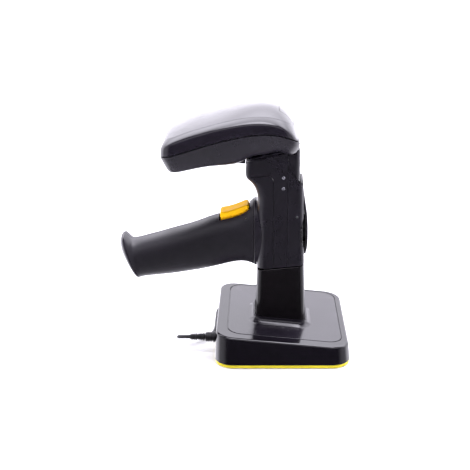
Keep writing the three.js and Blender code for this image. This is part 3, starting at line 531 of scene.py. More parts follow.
MATERIALS = {
    "charcoal_plastic": moulded_plastic("charcoal_plastic", CHARCOAL, 0.3, depth=0.003),
    "charcoal_panel": moulded_plastic("charcoal_panel", CHARCOAL, 0.2, depth=0.001),
    "charcoal_gloss": moulded_plastic("charcoal_gloss", CHARCOAL, 0.16, depth=0.0015),
    "charcoal_grip": moulded_plastic("charcoal_grip", CHARCOAL, 0.44, grain=0.5, depth=0.012),
    "gloss_black": moulded_plastic("gloss_black", (0.006, 0.005, 0.006), 0.09, depth=0.0008, worn=3.0),
    "base_gloss": moulded_plastic("base_gloss", (0.0055, 0.0045, 0.007), 0.12, depth=0.001),
    "black_plastic": moulded_plastic("black_plastic", (0.011, 0.010, 0.012), 0.42, worn=2.4),
    "yellow_plastic": moulded_plastic(
        "yellow_plastic", (0.84, 0.45, 0.006), 0.5, worn=1.12, swirl=0.05, Specular_IOR_Level=0.04),
    # The foot pad's yellow is paler and brighter than the trigger's: partly the pad's own colour, partly
    # painted light standing in for the glow it catches low down by the floor.
    "yellow_pad": moulded_plastic(
        "yellow_pad", (0.96, 0.82, 0.04), 0.45, worn=1.08, swirl=0.04, Specular_IOR_Level=0.2),
    "black_rubber": rubber("black_rubber", (0.013, 0.013, 0.015), 0.6),
    "steel": metal("steel", (0.6, 0.61, 0.63), 0.28, brushed=(1, 8, 8)),
    "gold_contact": metal("gold_contact", (0.83, 0.6, 0.2), 0.24),
    "circuit_board": circuit_board(),
    "antenna_ceramic": antenna_ceramic(),
    "lens": status_lens(),
    "battery_wrap": battery_wrap(),
}


def finish_cad_nodes():
    """The CAD nodes that stay in sight get their slot's material."""
    for row in frame["record"]["subparts"]:
        mesh = frame["nodes"][row["node"]].data
        mesh.materials.clear()
        mesh.materials.append(MATERIALS[row["material_slot"]])
        mesh.set_sharp_from_angle(angle=math.radians(30))


# ---------------------------------------------------------------- camera


def make_camera():
    data = bpy.data.cameras.new("camera")
    data.lens = 73.9
    data.sensor_width = 36
    data.shift_x = -0.0574
    camera = bpy.data.objects.new("camera", data)
    camera.location = (-0.0174, -0.7916, 0.3701)
    camera.rotation_euler = (math.radians(71), 0, 0)
    bpy.context.scene.collection.objects.link(camera)
    bpy.context.scene.camera = camera


# ---------------------------------------------------------------- the cord and its plug

RELIEF_END = JACK["end"] - GAP - 13
LEAD_ROUTE = [
    (RELIEF_END - GAP, JACK["y"], JACK["z"]),
    (-81.5, -28, 13.8), (-87.8, -25.5, 12.6), (-90.5, -20, 10), (-87.8, -14.3, 7.4), (-81.5, -11.8, 6.2),
    (-75, -8, 4.2), (-68, -3, 2.1), (-63, 3, 1.7), (-60.5, 10, 1.7), (-59.5, 20, 1.7), (-59.5, 31, 1.7),
    (-59.5, 42, 1.7), (-59.5, 53, 1.7), (-58.3, 60.5, 1.7), (-54.6, 67, 1.7), (-48.8, 71.4, 1.7),
    (-41.5, 73.2, 1.7), (-34, 73.2, 1.7), (-22, 73.2, 1.7), (-13.4, 73.2, 1.8),
]
TAIL_ROUTE = [
    (-15, 118.8, 4.2), (-19.5, 118.8, 2.9), (-24, 118.6, 2), (-28.6, 117.5, 2), (-32.5, 114.6, 2.6),
    (-35, 111, 3.4), (-36, 107, 3.6),
]


def coil_point(turns):
    """Three turns inwards on the lower layer, up in a quarter turn, then outwards on the upper layer."""
    diameter = 2 * CORD["radius"]
    inward = 3
    rise = 0.25
    outward = inward + rise
    if turns < outward:
        radius = lerp(CORD["outer"], CORD["inner"], min(turns / inward, 1))
    else:
        radius = CORD["inner"] + diameter * (turns - outward)
    height = CORD["low"] + diameter * smoothstep(turns, inward, outward)
    angle = 2 * math.pi * turns - QUARTER_TURN
    return (CORD["x"] + radius * math.cos(angle), CORD["y"] + radius * math.sin(angle), height)


def cord_route():
    coil_turns = 6.5
    steps = int(coil_turns * 48)
    lead = through([*LEAD_ROUTE, coil_point(0), coil_point(0.03)], 6)[:-7]
    coil = [Vector(coil_point(coil_turns * i / steps)) for i in range(steps + 1)]
    tail = through([coil[-2], coil[-1], *TAIL_ROUTE], 6)[7:]
    return [*lead, *coil, *tail]


def make_cord():
    route = cord_route()
    curve = bpy.data.curves.new("charging_cord", "CURVE")
    curve.dimensions = "3D"
    spline_points = curve.splines.new("POLY").points
    spline_points.add(len(route) - 1)
    for point, place in zip(spline_points, route):
        point.co = (*(place * MM), 1)
    curve.bevel_depth = CORD["radius"] * MM
    curve.bevel_resolution = 3
    curve.use_fill_caps = True
    cord = bpy.data.objects.new("charging_cord", curve)
    bpy.context.scene.collection.objects.link(cord)
    curve.materials.append(MATERIALS["black_rubber"])
    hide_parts("power_cord", "cord_coil", "cord_tail")
    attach(cord, "cradle")
    make_relief()
    make_plug_body()
    make_plug_shell()
    make_tie()


def make_relief():
    """A moulded sleeve with two waisted bulges, each with three grooves round it."""
    start = JACK["end"] - GAP
    waist = 1.95
    profile = [(start, 0.01), (start, 2.1), (start - 0.15, 2.5), (start - 0.5, 2.6)]
    for first, wide in ((start - 0.6, 3.35), (start - 7, 3.1)):
        profile += [(first, wide - 0.35), (first - 0.25, wide - 0.05), (first - 0.6, wide)]
        for k in range(3):
            rib = first - 1.1 - 1.45 * k
            deep = wide - 0.95
            profile += [(rib, wide), (rib - 0.3, deep), (rib - 0.75, deep), (rib - 1.05, wide - 0.05)]
        profile += [(first - 5.1, wide - 0.2), (first - 5.4, wide - 0.6)]
        profile += [(first - 5.7, waist), (first - 6.2, waist)]
    profile += [(start - 12.8, waist), (start - 13, waist - 0.2), (start - 13, 0.01)]
    relief = turned(profile, JACK["y"], JACK["z"])
    return stands_for(shade(relief, 40), "strain_relief", "black_rubber")


def make_plug_body():
    """An overmoulded grip with finger ribs, narrowing to the cord."""
    section = rounded(-PLUG["width"] / 2, PLUG["width"] / 2, PLUG["height"] / 2, 2.2, arc=8)
    end = PLUG["start"] - PLUG["body"]
    stations = [(0, 0.42), (0.3, 0.5), (2.2, 0.6), (4, 0.74), (5.4, 0.92), (6.5, 0.99)]
    for k in range(4):
        rib = 7.4 + 1.7 * k
        stations += [(rib, 1), (rib + 0.3, 0.94), (rib + 0.8, 0.94), (rib + 1.1, 1)]
    stations += [(PLUG["body"] - 0.5, 1), (PLUG["body"] - 0.15, 0.985), (PLUG["body"], 0.94)]

    def ring(along, size):
        y = PLUG["start"] - along
        return [(PLUG["x"] + u * size, y, PLUG["z"] + v * size) for u, v in section]

    plug = loft("plug", [ring(along, size) for along, size in stations])
    half = PLUG["shell"] / 2 + 0.3
    mouth = block(PLUG["x"] - half, PLUG["x"] + half, end - 1, end + 3, PLUG["z"] - 2.5, PLUG["z"] + 2.5)
    return stands_for(shade(cut(plug, mouth), 40), "usb_plug_body", "black_rubber")


def make_plug_shell():
    """A folded steel shell, open at its end, with two spring holes in its top and the tongue inside."""
    end = PLUG["start"] - PLUG["body"]
    tip = end - 12
    half = PLUG["shell"] / 2
    x, z = PLUG["x"], PLUG["z"]
    shell = soften(block(x - half, x + half, tip, end + 2.6, z - 2.2, z + 2.2), 0.5, 3)
    cut(shell, block(x - half + 0.35, x + half - 0.35, tip - 1, end, z - 0.1, z + 1.85))
    for side in (-1, 1):
        hole = x + side * 2.9
        cut(shell, block(hole - 1.1, hole + 1.1, end - 7.2, end - 5, z + 1.5, z + 3))
    return stands_for(shade(shell, 40), "usb_plug_shell", "steel")


def make_tie():
    """A strap round the coil's turns."""
    wide = 6
    inner = CORD["inner"] - CORD["radius"] - 0.1
    outer = CORD["outer"] + CORD["radius"] - 0.35
    low = CORD["low"] - CORD["radius"]
    high = CORD["low"] + 4 * CORD["radius"]

    def loop(out, u):
        half, middle = (high - low) / 2 + out, (high + low) / 2
        points = rounded(inner - out, outer + out, half, 1.4 + out, arc=6, middle=middle)
        return [(CORD["x"] + u, CORD["y"] + r, max(z, 0.04)) for r, z in points]

    thick = 0.32
    rings = [loop(0, -wide / 2), loop(thick, -wide / 2), loop(thick, wide / 2), loop(0, wide / 2)]
    tie = shade(loft("cord_tie", rings, wrap=True), 40)
    tie.data.materials.append(MATERIALS["black_rubber"])
    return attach(tie, "cradle")


# ---------------------------------------------------------------- the cradle


def base_top(x):
    return BASE["top"] + BASE["slope"] * x


def rim_top(x):
    return RIM["height"] + RIM["slope"] * x


def base_outline(inset, lean=None):
    lean = inset if lean is None else lean
    reach = BASE["length"] / 2 - inset
    half = (BASE["far"] - BASE["near"]) / 2 - lean
    middle = (BASE["near"] + BASE["far"]) / 2
    return rounded(-reach, reach, half, max(BASE["corner"] - inset, 3), arc=16, middle=middle)


def panel_outline(inset):
    middle = (PANEL["near"] + PANEL["far"]) / 2
    half = (PANEL["far"] - PANEL["near"]) / 2 - inset
    corner = PANEL["corner"] - inset
    return rounded(PANEL["left"] + inset, PANEL["right"] - inset, half, corner, arc=16, middle=middle)


def column_outline(z, inset):
    grow = max(0, RIM["height"] - z) * COLUMN["taper"] - inset
    half = COLUMN["half"] + grow * 0.4 - inset * 0.6
    corner = max(COLUMN["corner"] - inset, 1.5)
    return rounded(COLUMN["left"] - grow, COLUMN["right"] + grow, half, corner, arc=16)


def boss_places():
    return [(x, y) for x in (-BOSS["x"], BOSS["x"]) for y in (BOSS["near"], BOSS["far"])]


def foot_pad():
    top, inset = PAD["height"], PAD["inset"]
    rings = [level(base_outline(inset + 1.1), 0)]
    for away, down in quarter_round(0.6, 4)[::-1]:
        rings.append(level(base_outline(inset + away), down))
    for away, down in quarter_round(0.35, 3):
        rings.append(level(base_outline(inset + away), top - down))
    pad = loft("pad", rings)
    for x, y in boss_places():
        cut(pad, rod(3.4, (x, y, -1), (x, y, 2.1)), rod(1.9, (x, y, 1), (x, y, 5)))
    return stands_for(shade(pad), "foot_pad", "yellow_pad")


def base_shell():
    """An open-bottomed wedge with rolled top edges, and a recess for the panel round the column's hole."""
    floor = PAD["height"] + GAP
    lip = -PANEL["groove"]
    recess = PANEL["thick"] + GAP
    rings = [
        over(column_outline(20, -GAP), base_top, -recess - 2),
        over(base_outline(3.6), base_top, -recess - 2),
        level(base_outline(2.6), floor),
        level(base_outline(0.35), floor),
        level(base_outline(0.1), floor + 0.1),
        level(base_outline(0), floor + 0.35),
    ]
    for k in range(1, 5):
        share = k / 5
        outline = base_outline(BASE["draft"] * share, BASE["lean"] * share)
        rings.append(over(outline, lambda x: lerp(floor + 0.35, base_top(x) - BASE["round"], share)))
    for away, down in quarter_round(BASE["round"], 9):
        rings.append(over(base_outline(BASE["draft"] + away, BASE["lean"] + away), base_top, -down))
    for away, down in quarter_round(0.3, 3)[::-1]:
        rings.append(over(panel_outline(lip - away), base_top, -down))
    rings.append(over(panel_outline(lip), base_top, -recess))
    rings.append(over(column_outline(20, -GAP), base_top, -recess))
    shell = loft("base", rings, wrap=True)
    port = rod(JACK["radius"] - 0.3, (-60, JACK["y"], JACK["z"]), (-50, JACK["y"], JACK["z"]))
    return stands_for(shade(cut(shell, port)), "base_shell", "base_gloss", slot="charcoal_plastic")


def top_panel():
    """A thin inlaid panel that flares up into a collar round the column's foot."""
    thick = PANEL["thick"]
    rings = [
        over(column_outline(COLUMN["foot"], -GAP), base_top, -thick),
        over(panel_outline(0.1), base_top, -thick),
        over(panel_outline(0), base_top, 0.1 - thick),
    ]
    for away, down in quarter_round(0.3, 4):
        rings.append(over(panel_outline(away), base_top, -down))
    steps = 14
    for k in range(steps + 1):
        t = k / steps
        spread = FLARE["start"] + FLARE["reach"] * (1 - t) ** FLARE["power"]
        rings.append(over(column_outline(25, -spread), base_top, FLARE["height"] * t))
    for spread, rise in ((0.7, 0.12), (0.45, 0.12), (GAP, 0)):
        rings.append(over(column_outline(25, -spread), base_top, FLARE["height"] + rise))
    panel = shade(loft("panel", rings, wrap=True))
    return stands_for(panel, "top_panel", "charcoal_panel", slot="charcoal_plastic")


def column_shell():
    """A tapered tube with a flange at its foot and a slanted rim with rolled edges."""
    foot, wall = COLUMN["foot"], COLUMN["wall"]
    waist = 45
    flange = column_outline(foot, -3)
    rings = [
        level(column_outline(foot, wall), foot - 2),
        level(flange, foot - 2),
        level(flange, foot),
        level(column_outline(foot, 0), foot),
    ]
    for k in range(1, 8):
        z = lerp(foot, waist, k / 8)
        rings.append(level(column_outline(z, 0), z))
    edge = 0.55
    for k in range(9):
        share = k / 9
        z = lerp(waist, RIM["height"], share)
        rings.append(over(column_outline(z, 0), lambda x: lerp(waist, rim_top(x) - edge, share)))
    for away, down in quarter_round(edge, 5):
        rings.append(over(column_outline(RIM["height"], away), rim_top, -down))
    for away, down in quarter_round(0.3, 3)[::-1]:
        rings.append(over(column_outline(RIM["height"], wall - away), rim_top, -down))
    column = shade(loft("column", rings, wrap=True))
    return stands_for(column, "column_shell", "gloss_black")


def cable_gland():
    """A gland pushed through the wall, with a collar outside it and four rounded ribs."""
    neck, radius, end = JACK["radius"] - 0.6, JACK["radius"], JACK["end"]
    groove = radius - 0.45
    profile = [(-51, 0.01), (-51, 5.6), (-53.6, 5.6), (-53.6, neck), (-57.9, neck)]
    profile += [(-57.9, radius + 0.2), (-58.1, radius + 0.45), (-58.3, radius + 0.5)]
    profile += [(-59.4, radius + 0.5), (-59.65, radius + 0.4)]
    profile += [(-59.9, radius - 0.5), (-60.3, radius - 0.5), (-60.5, radius - 0.1)]
    for k in range(4):
        rib = -60.7 - 1.35 * k
        profile += [(rib, radius), (rib - 0.75, radius), (rib - 0.9, groove), (rib - 1.2, groove)]
    profile += [(-66.05, radius - 0.15), (-66.3, groove), (end, radius - 0.8), (end, 0.01)]
    return stands_for(shade(turned(profile, JACK["y"], JACK["z"]), 40), "cable_gland", "black_plastic")


# ---------------------------------------------------------------- the scanner's upright body

body_left = spline([
    (40, -21.7), (76, -21.7), (92, -21.3), (107, -20.9), (119, -21.4), (132, -21.3), (137, -21.3),
    (141, -22.3), (145, -23.9), (149, -26.9), (152, -29.7), (154.5, -30.8), (165, -30.8), (190, -30.8),
])


def front_corner(z):
    return lerp(BODY["front_corner"], BODY["back_corner"], smoothstep(z, 148, 156))


def body_back(z):
    return BODY["back"] - (z - 76) * BODY["lean"]


def body_foot(x):
    return rim_top(x) + RIM["seam"]


def body_top(x):
    return 168.2 + 0.218 * (x + 28.2)


def slant(x):
    return 159.4 - 1.129 * (x - 5.8)


def columns_round(seam_x, edge, corner, facing, flat=14, half=BODY["half"]):
    """Functions of height that walk round the body: near seam, corner, face, corner, far seam."""
    arc, face = 12, 10
    near = []
    for i in range(flat):
        share = (i / flat) ** 1.5
        near.append(lambda z, s=share: (lerp(seam_x, edge(z) - facing * corner(z), s), -half))
    for i in range(arc + 1):
        angle = QUARTER_TURN * i / arc
        near.append(lambda z, a=angle: (
            edge(z) - facing * corner(z) * (1 - math.sin(a)), -half + corner(z) * (1 - math.cos(a))))
    shares = [i / face for i in range(1, face)]
    middle = [lambda z, s=s: (edge(z), lerp(corner(z) - half, half - corner(z), s)) for s in shares]
    far = [lambda z, c=c: (c(z)[0], -c(z)[1]) for c in reversed(near)]
    return [*near, *middle, *far]


def side_columns(x0, x1, side, steps):
    return [lambda z, x=lerp(x0, x1, i / steps): (x, side * BODY["half"]) for i in range(steps + 1)]


def patch_rows(columns, low, high, steps):
    """Rows of points between two edges that are given as heights over x."""
    rows = []
    for i in range(steps + 1):
        row = []
        for column in columns:
            z = 120
            for _ in range(8):
                x, y = column(z)
                z = lerp(low(x), high(x), i / steps)
            x, y = column(z)
            row.append((x, y, z))
        rows.append(row)
    return rows


def facing_out(obj, centre):
    """Turns an open skin's faces away from a point inside it."""
    bm = bmesh.new()
    bm.from_mesh(obj.data)
    inside = Vector(centre) * MM
    if sum((f.calc_center_median() - inside).dot(f.normal) * f.calc_area() for f in bm.faces) < 0:
        bmesh.ops.reverse_faces(bm, faces=bm.faces)
    bm.to_mesh(obj.data)
    bm.free()
    return obj


BODY_INSIDE = (-3, 0, 120)


def cover(skin):
    return soften(solidify(facing_out(skin, BODY_INSIDE), BODY["wall"]), 0.5, 3)


def finger_top(edge, lifted):
    """The finger panel's upper line: nearly level at the front, and round into the vertical seam."""
    corner_x, corner_z = 4 + lifted * 0.75, 4.5 + lifted
    start, low = edge - corner_x, SEAM["level"]

    def height(x):
        if x >= edge:
            return low
        if x > start:
            return low + corner_z * math.sqrt(max(1 - ((x - start) / corner_x) ** 2, 0))
        return lerp(153.8 + lifted, low + corner_z, smoothstep(x, -34, start))

    return height


def front_cover():
    edge = SEAM["finger"] - GAP / 2
    rows = patch_rows(columns_round(edge, body_left, front_corner, -1), body_foot, finger_top(edge, 0), 64)
    return stands_for(shade(cover(grid("front", rows))), "front_cover", "charcoal_plastic")


def body_core():
    edge, side = SEAM["finger"] + GAP / 2, SEAM["side"] - GAP / 2
    line = finger_top(edge, 0.4)
    steps = 12
    near, far = side_columns(side, edge, -1, steps), side_columns(edge, side, 1, steps)
    middle = columns_round(edge, body_left, front_corner, -1)
    band = patch_rows([*near[:-1], *middle, *far[1:]], line, body_top, 16)
    legs = [patch_rows(c, body_foot, steady(SEAM["level"]), 48) for c in (near, far)]
    skin = joined("core", [grid("band", band), *[grid("leg", rows) for rows in legs]])
    core = cover(skin)
    for z in LENS_HEIGHTS:
        cut(core, rod(LENS["radius"] + GAP, (LENS["x"], -21, z), (LENS["x"], -16, z), 32))
    return stands_for(shade(core), "body_core", "charcoal_plastic")


def notch(y0, y1):
    points = [(24, 122), (17.6, 117.5), (15.4, 111.5), (14.4, 105.4), (15.4, 98.5), (18, 91.5), (24, 88)]
    return prism_xz(points, y0, y1)


def rear_cover():
    edge = SEAM["side"] + GAP / 2
    columns = columns_round(edge, body_back, steady(BODY["back_corner"]), 1, flat=10)
    rows = patch_rows(columns, body_foot, slant, 56)
    rear = solidify(facing_out(grid("rear", rows), BODY_INSIDE), BODY["wall"])
    combine(rear, block(10.4, 16, -18.2, 18.2, 80, 130), "UNION")
    z = LOCK["height"]
    recess = rod(LOCK["radius"] + 0.4, (LOCK["front"] - GAP, 0, z), (30, 0, z), 96)
    cut(rear, recess, notch(-30, -11), notch(11, 30))
    x, z = SIDE_SCREW["x"], SIDE_SCREW["z"]
    for y0, y1 in ((-21, -13), (13, 21)):
        cut(rear, rod(1.3, (x, y0, z), (x, y1, z), 24))
    soften(rear, 0.45, 3, 40)
    return stands_for(shade(rear), "rear_cover", "charcoal_plastic")


def strip_top(x):
    """Level along the side, with a step up near the back."""
    return lerp(STRIP["low"], STRIP["top"], min(max((x - STRIP["back"] + 4.5) / 3, 0), 1))


def rear_strip():
    edge = SEAM["side"] + GAP / 2
    corner = steady(BODY["back_corner"])
    columns = columns_round(edge, steady(STRIP["back"]), corner, 1, half=STRIP["half"])
    rows = patch_rows(columns, lambda x: slant(x) + 0.4, strip_top, 20)
    strip = solidify(facing_out(grid("strip", rows), BODY_INSIDE), BODY["wall"])
    half, z = STRIP["open_half"], BUTTON["height"]
    opening = block(9, 20, -half, half, STRIP["open"], STRIP["top"] + 5)
    cut(strip, opening, rod(BUTTON["radius"] + GAP, (8, 0, z), (20, 0, z), 40))
    return stands_for(shade(soften(strip, 0.3, 3)), "rear_strip", "charcoal_plastic")


plate_back = spline([(82.6, 20.4), (91, 21.8), (106, 22.2), (121, 21.4), (134, 19.4), (150.6, 17.4)])


def mount_plate():
    """A crowned plate with a rolled edge and a shallow panel, and the release ring's hub behind it."""
    middle_z, half, corner = (PLATE["low"] + PLATE["high"]) / 2, PLATE["half"], PLATE["corner"]
    reach = (PLATE["high"] - PLATE["low"]) / 2 - 0.5
    inner = 2.2

    def crowned(points, depth):
        """Points of (z from the middle, y), put on the plate's crowned back and sunk by depth."""
        placed = [(z + middle_z, y) for z, y in points]
        return [(plate_back(z) - 0.7 * (y / half) ** 2 - depth, y, z) for z, y in placed]

    def outline(inset):
        round_corner = max(corner - inset, 2)
        return rounded(inset - reach, reach - inset, half - inset, round_corner, arc=14, along=30)

    def ring(inset, depth):
        return crowned(outline(inset), depth)

    def shrunk(k, depth):
        return crowned([(z * k, y * k) for z, y in outline(0)], depth)

    rings = [shrunk(0.04, inner), shrunk(0.5, inner), ring(0.15, inner), ring(0, inner - 0.15)]
    rings += [ring(away, down) for away, down in quarter_round(1.1, 6)]
    rings += [ring(3.2, 0), ring(3.5, 0.1), ring(3.8, 0.35), ring(4.2, 0.4)]
    rings += [shrunk(k, 0.4) for k in (0.6, 0.45, 0.3, 0.15, 0.04)]
    plate = loft("plate", rings)
    z = LOCK["height"]
    combine(plate, rod(LOCK["hub"], (LOCK["front"], 0, z), (20.6, 0, z), 64), "UNION")
    return stands_for(shade(plate), "mount_plate", "black_plastic")


def release_ring():
    """A ring with finger lobes all round and a chamfer on both faces."""
    lobes = 28
    turns = full_turn(lobes * 8)
    front, back, middle = LOCK["front"], LOCK["back"], LOCK["height"]

    def ring(x, inset):
        points = []
        for angle in turns:
            wave = abs(math.sin(angle * lobes / 2)) ** 0.6
            r = LOCK["radius"] - 0.9 * (1 - wave) - inset
            points.append((x, r * math.cos(angle), middle + r * math.sin(angle)))
        return points

    def bore(x, radius):
        return [(x, radius * math.cos(a), middle + radius * math.sin(a)) for a in turns]

    hole = LOCK["hub"] + 0.5
    rings = [bore(front, hole + 0.3), ring(front, 0.6), ring(front + 0.6, 0), ring(back - 0.6, 0)]
    rings += [ring(back, 0.6), bore(back, hole + 2.5), bore(back - 0.5, hole + 2), bore(back - 0.5, hole)]
    return stands_for(shade(loft("ring", rings, wrap=True)), "release_ring", "black_plastic")


def power_button():
    radius, flange, proud = BUTTON["radius"], BUTTON["flange"], BUTTON["proud"]
    profile = [(-4.2, 0.01), (-4.2, flange), (-2.9, flange), (-2.9, radius), (0.1, radius)]
    profile += [(0.4, radius - 0.1), (0.6, radius - 0.35), (proud, radius - 0.7)]
    profile += [(0.6, radius - 1.2), (0.35, 1.4), (0.25, 0.01)]
    button = turned([(STRIP["back"] + x, r) for x, r in profile], 0, BUTTON["height"], 48)
    return stands_for(shade(button, 40), "power_button", "black_rubber")


def status_lens_piece(index, z):
    """A clear button with a dished middle, pushed in from inside."""
    radius, flange = LENS["radius"], LENS["flange"]
    profile = [(-16.2, 0.01), (-16.2, flange), (-17.2, flange), (-17.2, radius), (-19.85, radius)]
    profile += [(-20.05, 1.25), (-20.1, 1), (-19.95, 0.75), (-19.8, 0.3), (-19.8, 0.01)]
    lens = turned_across(profile, LENS["x"], z, 36)
    return stands_for(shade(lens, 40), f"status_lens_{index}", "lens")


def side_screw(node, side):
    """A small flush screw with a cross in its head."""
    profile = [(13.6, 0.01), (13.6, 1), (19.8, 1), (19.98, 0.85), (20.05, 0.6), (20.05, 0.01)]
    x, z = SIDE_SCREW["x"], SIDE_SCREW["z"]
    screw = turned_across([(side * y, r) for y, r in profile], x, z, 32)
    outer, deep = sorted((side * 21, side * 19.5))
    cut(screw, block(x - 0.6, x + 0.6, outer, deep, z - 0.15, z + 0.15))
    cut(screw, block(x - 0.15, x + 0.15, outer, deep, z - 0.6, z + 0.6))
    return stands_for(shade(screw, 40), node, "steel")


# ---------------------------------------------------------------- the domed head

crest = spline([
    (-102, 182.5), (-97, 188.2), (-90, 192.4), (-78, 197), (-64, 201.2), (-43, 207.1), (-30, 210.3),
    (-20.8, 211.52), (-10.3, 211.12), (-1.7, 208.4), (5.2, 203), (9.6, 196.4), (14, 186),
])
parting = spline([
    (-105, 174.9), (-96.2, 177), (-86.4, 179.5), (-66, 185.9), (-45.6, 191.5), (-29.3, 194.8),
    (-13.2, 196), (-3.4, 195), (4.7, 192.2), (9, 190), (13.4, 187),
])
belly = spline([
    (-102, 159), (-91, 160.4), (-71.6, 164.4), (-57, 166.6), (-42, 168), (-36, 169.6), (-28, 173.8),
    (-14, 176.8), (-1, 178.2), (5, 175.4), (9, 174.5), (14, 174.5),
])
HEAD_MIDDLE = (HEAD["left"] + HEAD["right"]) / 2


def crown(x, y):
    return crest(x) - (1.6 + 2.6 * smoothstep(x, -60, -10)) * (y / 37) ** 2


def roof(x, y, inset, start):
    """The crown's height, kept above the parting surface where both come down at the back corners."""
    return max(crown(x, y) - inset, parting(x) + start + 1.2 - inset * 0.3)


def head_outline(inset, left_in=0, right_in=0, side_in=0):
    left, right = HEAD["left"] + inset + left_in, HEAD["right"] - inset - right_in
    nose = max(HEAD["nose"] - inset - side_in * 0.2, 3)
    tail = max(HEAD["tail"] - inset - side_in * 0.3, 3)
    return rounded(left, right, HEAD["half"] - inset - side_in, nose, tail, arc=20, along=44, across=16)


def shrink(points, k):
    return [(HEAD_MIDDLE + (x - HEAD_MIDDLE) * k, y * k) for x, y in points]


def by_index(values):
    return spline(list(enumerate(values)))


TOP_IN = by_index([0, 0.3, 1, 2.7, 5.8, 9.8])
TOP_UP = by_index([0, 0.4, 0.72, 0.87, 0.95, 1])
LOW_LEFT = by_index([0, 1.7, 4.8, 6.6, 9.5])
LOW_RIGHT = by_index([0, 0.3, 2.2, 4.6, 6.4])
LOW_SIDE = by_index([0, 2.2, 6.6, 10.4, 15])
LOW_DOWN = by_index([0, 0.3, 0.76, 0.93, 1])
CROWN_EDGE = (TOP_IN(5) * 0.35, TOP_IN(5) * 0.6, TOP_IN(5))
PARTING_EDGE = ((0.3, 0), (0.08, 0.08), (0, 0.3))
BELLY_EDGE = (LOW_LEFT(4), LOW_RIGHT(4), LOW_SIDE(4))


def head_wall(inset, start, steps=20):
    """Rings from the parting line up over the shoulder to the crown's edge."""
    rings = []
    for k in range(steps + 1):
        t = 5 * k / steps
        side = TOP_IN(t)
        up = TOP_UP(t)
        outline = head_outline(inset, side * 0.35, side * 0.6, side)
        rings.append(lift(outline, lambda x, y: lerp(parting(x) + start, roof(x, y, inset, start), up)))
    return rings


def head_crown(inset, steps):
    edge = head_outline(inset, *CROWN_EDGE)
    return [lift(shrink(edge, k), lambda x, y: crown(x, y) - inset) for k in steps]


def head_upper():
    wall, start = HEAD["wall"], HEAD["parting"]
    inward = [0.97, 0.92, *[0.86 - 0.86 * k / 20 for k in range(20)], 0.012]
    rings = head_crown(wall, inward[::-1]) + head_wall(wall, start, 12)[::-1]
    rings += [over(head_outline(inset), parting, start + rise) for inset, rise in PARTING_EDGE]
    rings += head_wall(0, start)[3:-1]
    groove = [(1, 0), (0.9965, 0.16), (0.991, 0.2), (0.986, 0.16), (0.982, 0)]
    edge = head_outline(0, *CROWN_EDGE)
    rings += [lift(shrink(edge, k), lambda x, y, d=down: crown(x, y) - d) for k, down in groove]
    rings += head_crown(0, inward)
    upper = loft("upper", rings)
    cut(upper, window_block(0.25))
    return stands_for(shade(upper), "head_upper_shell", "charcoal_gloss", slot="charcoal_plastic")


def window_block(grow):
    half = WINDOW["half"] + grow
    return block(WINDOW["left"] - grow, WINDOW["right"] + grow, -half, half, 192, 230)


def scan_window():
    thick = HEAD["wall"]
    rows = 16
    half = WINDOW["half"] - 0.1
    top = []
    for i in range(rows + 1):
        x = lerp(WINDOW["left"] + 0.1, WINDOW["right"] - 0.1, i / rows)
        top.append(lift([(x, lerp(-half, half, j / 20)) for j in range(21)], crown_or_shoulder))
    window = solidify(facing_out(grid("window", top), (0, 0, 150)), thick)
    return stands_for(shade(soften(window, 0.25, 3)), "scan_window", "gloss_black")


def crown_or_shoulder(x, y):
    """The head's upper surface near its back, where it turns down over the shoulder."""
    if x <= HEAD["right"] - CROWN_EDGE[1]:
        return crown(x, y)
    low, high = 0.0, 5.0
    for _ in range(24):
        t = (low + high) / 2
        if HEAD["right"] - TOP_IN(t) * 0.6 > x:
            low = t
        else:
            high = t
    return lerp(parting(x) + HEAD["parting"], crown(x, y), TOP_UP(t))


def head_bowl(inset, start, steps=20):
    """Rings from the parting line down and in to the belly's edge."""
    rings = []
    for k in range(steps + 1):
        t = 4 * k / steps
        down = LOW_DOWN(t)
        outline = head_outline(inset, LOW_LEFT(t), LOW_RIGHT(t), LOW_SIDE(t))
        rings.append(over(outline, lambda x: lerp(parting(x) + start, belly(x) + inset, down)))
    return rings


def head_belly(inset, steps):
    edge = head_outline(inset, *BELLY_EDGE)
    return [over(shrink(edge, k), belly, inset) for k in steps]


def head_lower():
    wall, start = HEAD["wall"], -HEAD["parting"]
    inward = [0.95, 0.88, 0.8, 0.7, 0.6, 0.48, 0.36, 0.24, 0.12, 0.02]
    rings = head_belly(wall, inward[::-1]) + head_bowl(wall, start, 12)[::-1]
    rings += [over(head_outline(inset), parting, start - rise) for inset, rise in PARTING_EDGE]
    rings += head_bowl(0, start)[1:]
    rings += head_belly(0, inward)
    lower = cut(loft("lower", rings), block(-20, 0, -10, 10, 160, 184))
    return stands_for(shade(lower), "head_lower_shell", "charcoal_plastic")


def head_gasket():
    profile = [(3, -0.25), (0.85, -0.25), (0.7, -0.1), (0.7, 0.1), (0.85, 0.25), (3, 0.25)]
    rings = [over(head_outline(inset), parting, rise) for inset, rise in profile]
    return stands_for(shade(loft("gasket", rings, wrap=True)), "head_gasket", "black_rubber")


def head_keep_out():
    """The head's lower half, a gap larger all round: a cutter for what sits under it."""
    rings = [over(shrink(head_outline(-GAP), k), parting, 3) for k in (0.02, 0.5)]
    rings += head_bowl(-GAP, 3) + head_belly(-GAP, [0.8, 0.4, 0.03])
    return loft("keep_out", rings)


# ---------------------------------------------------------------- the neck


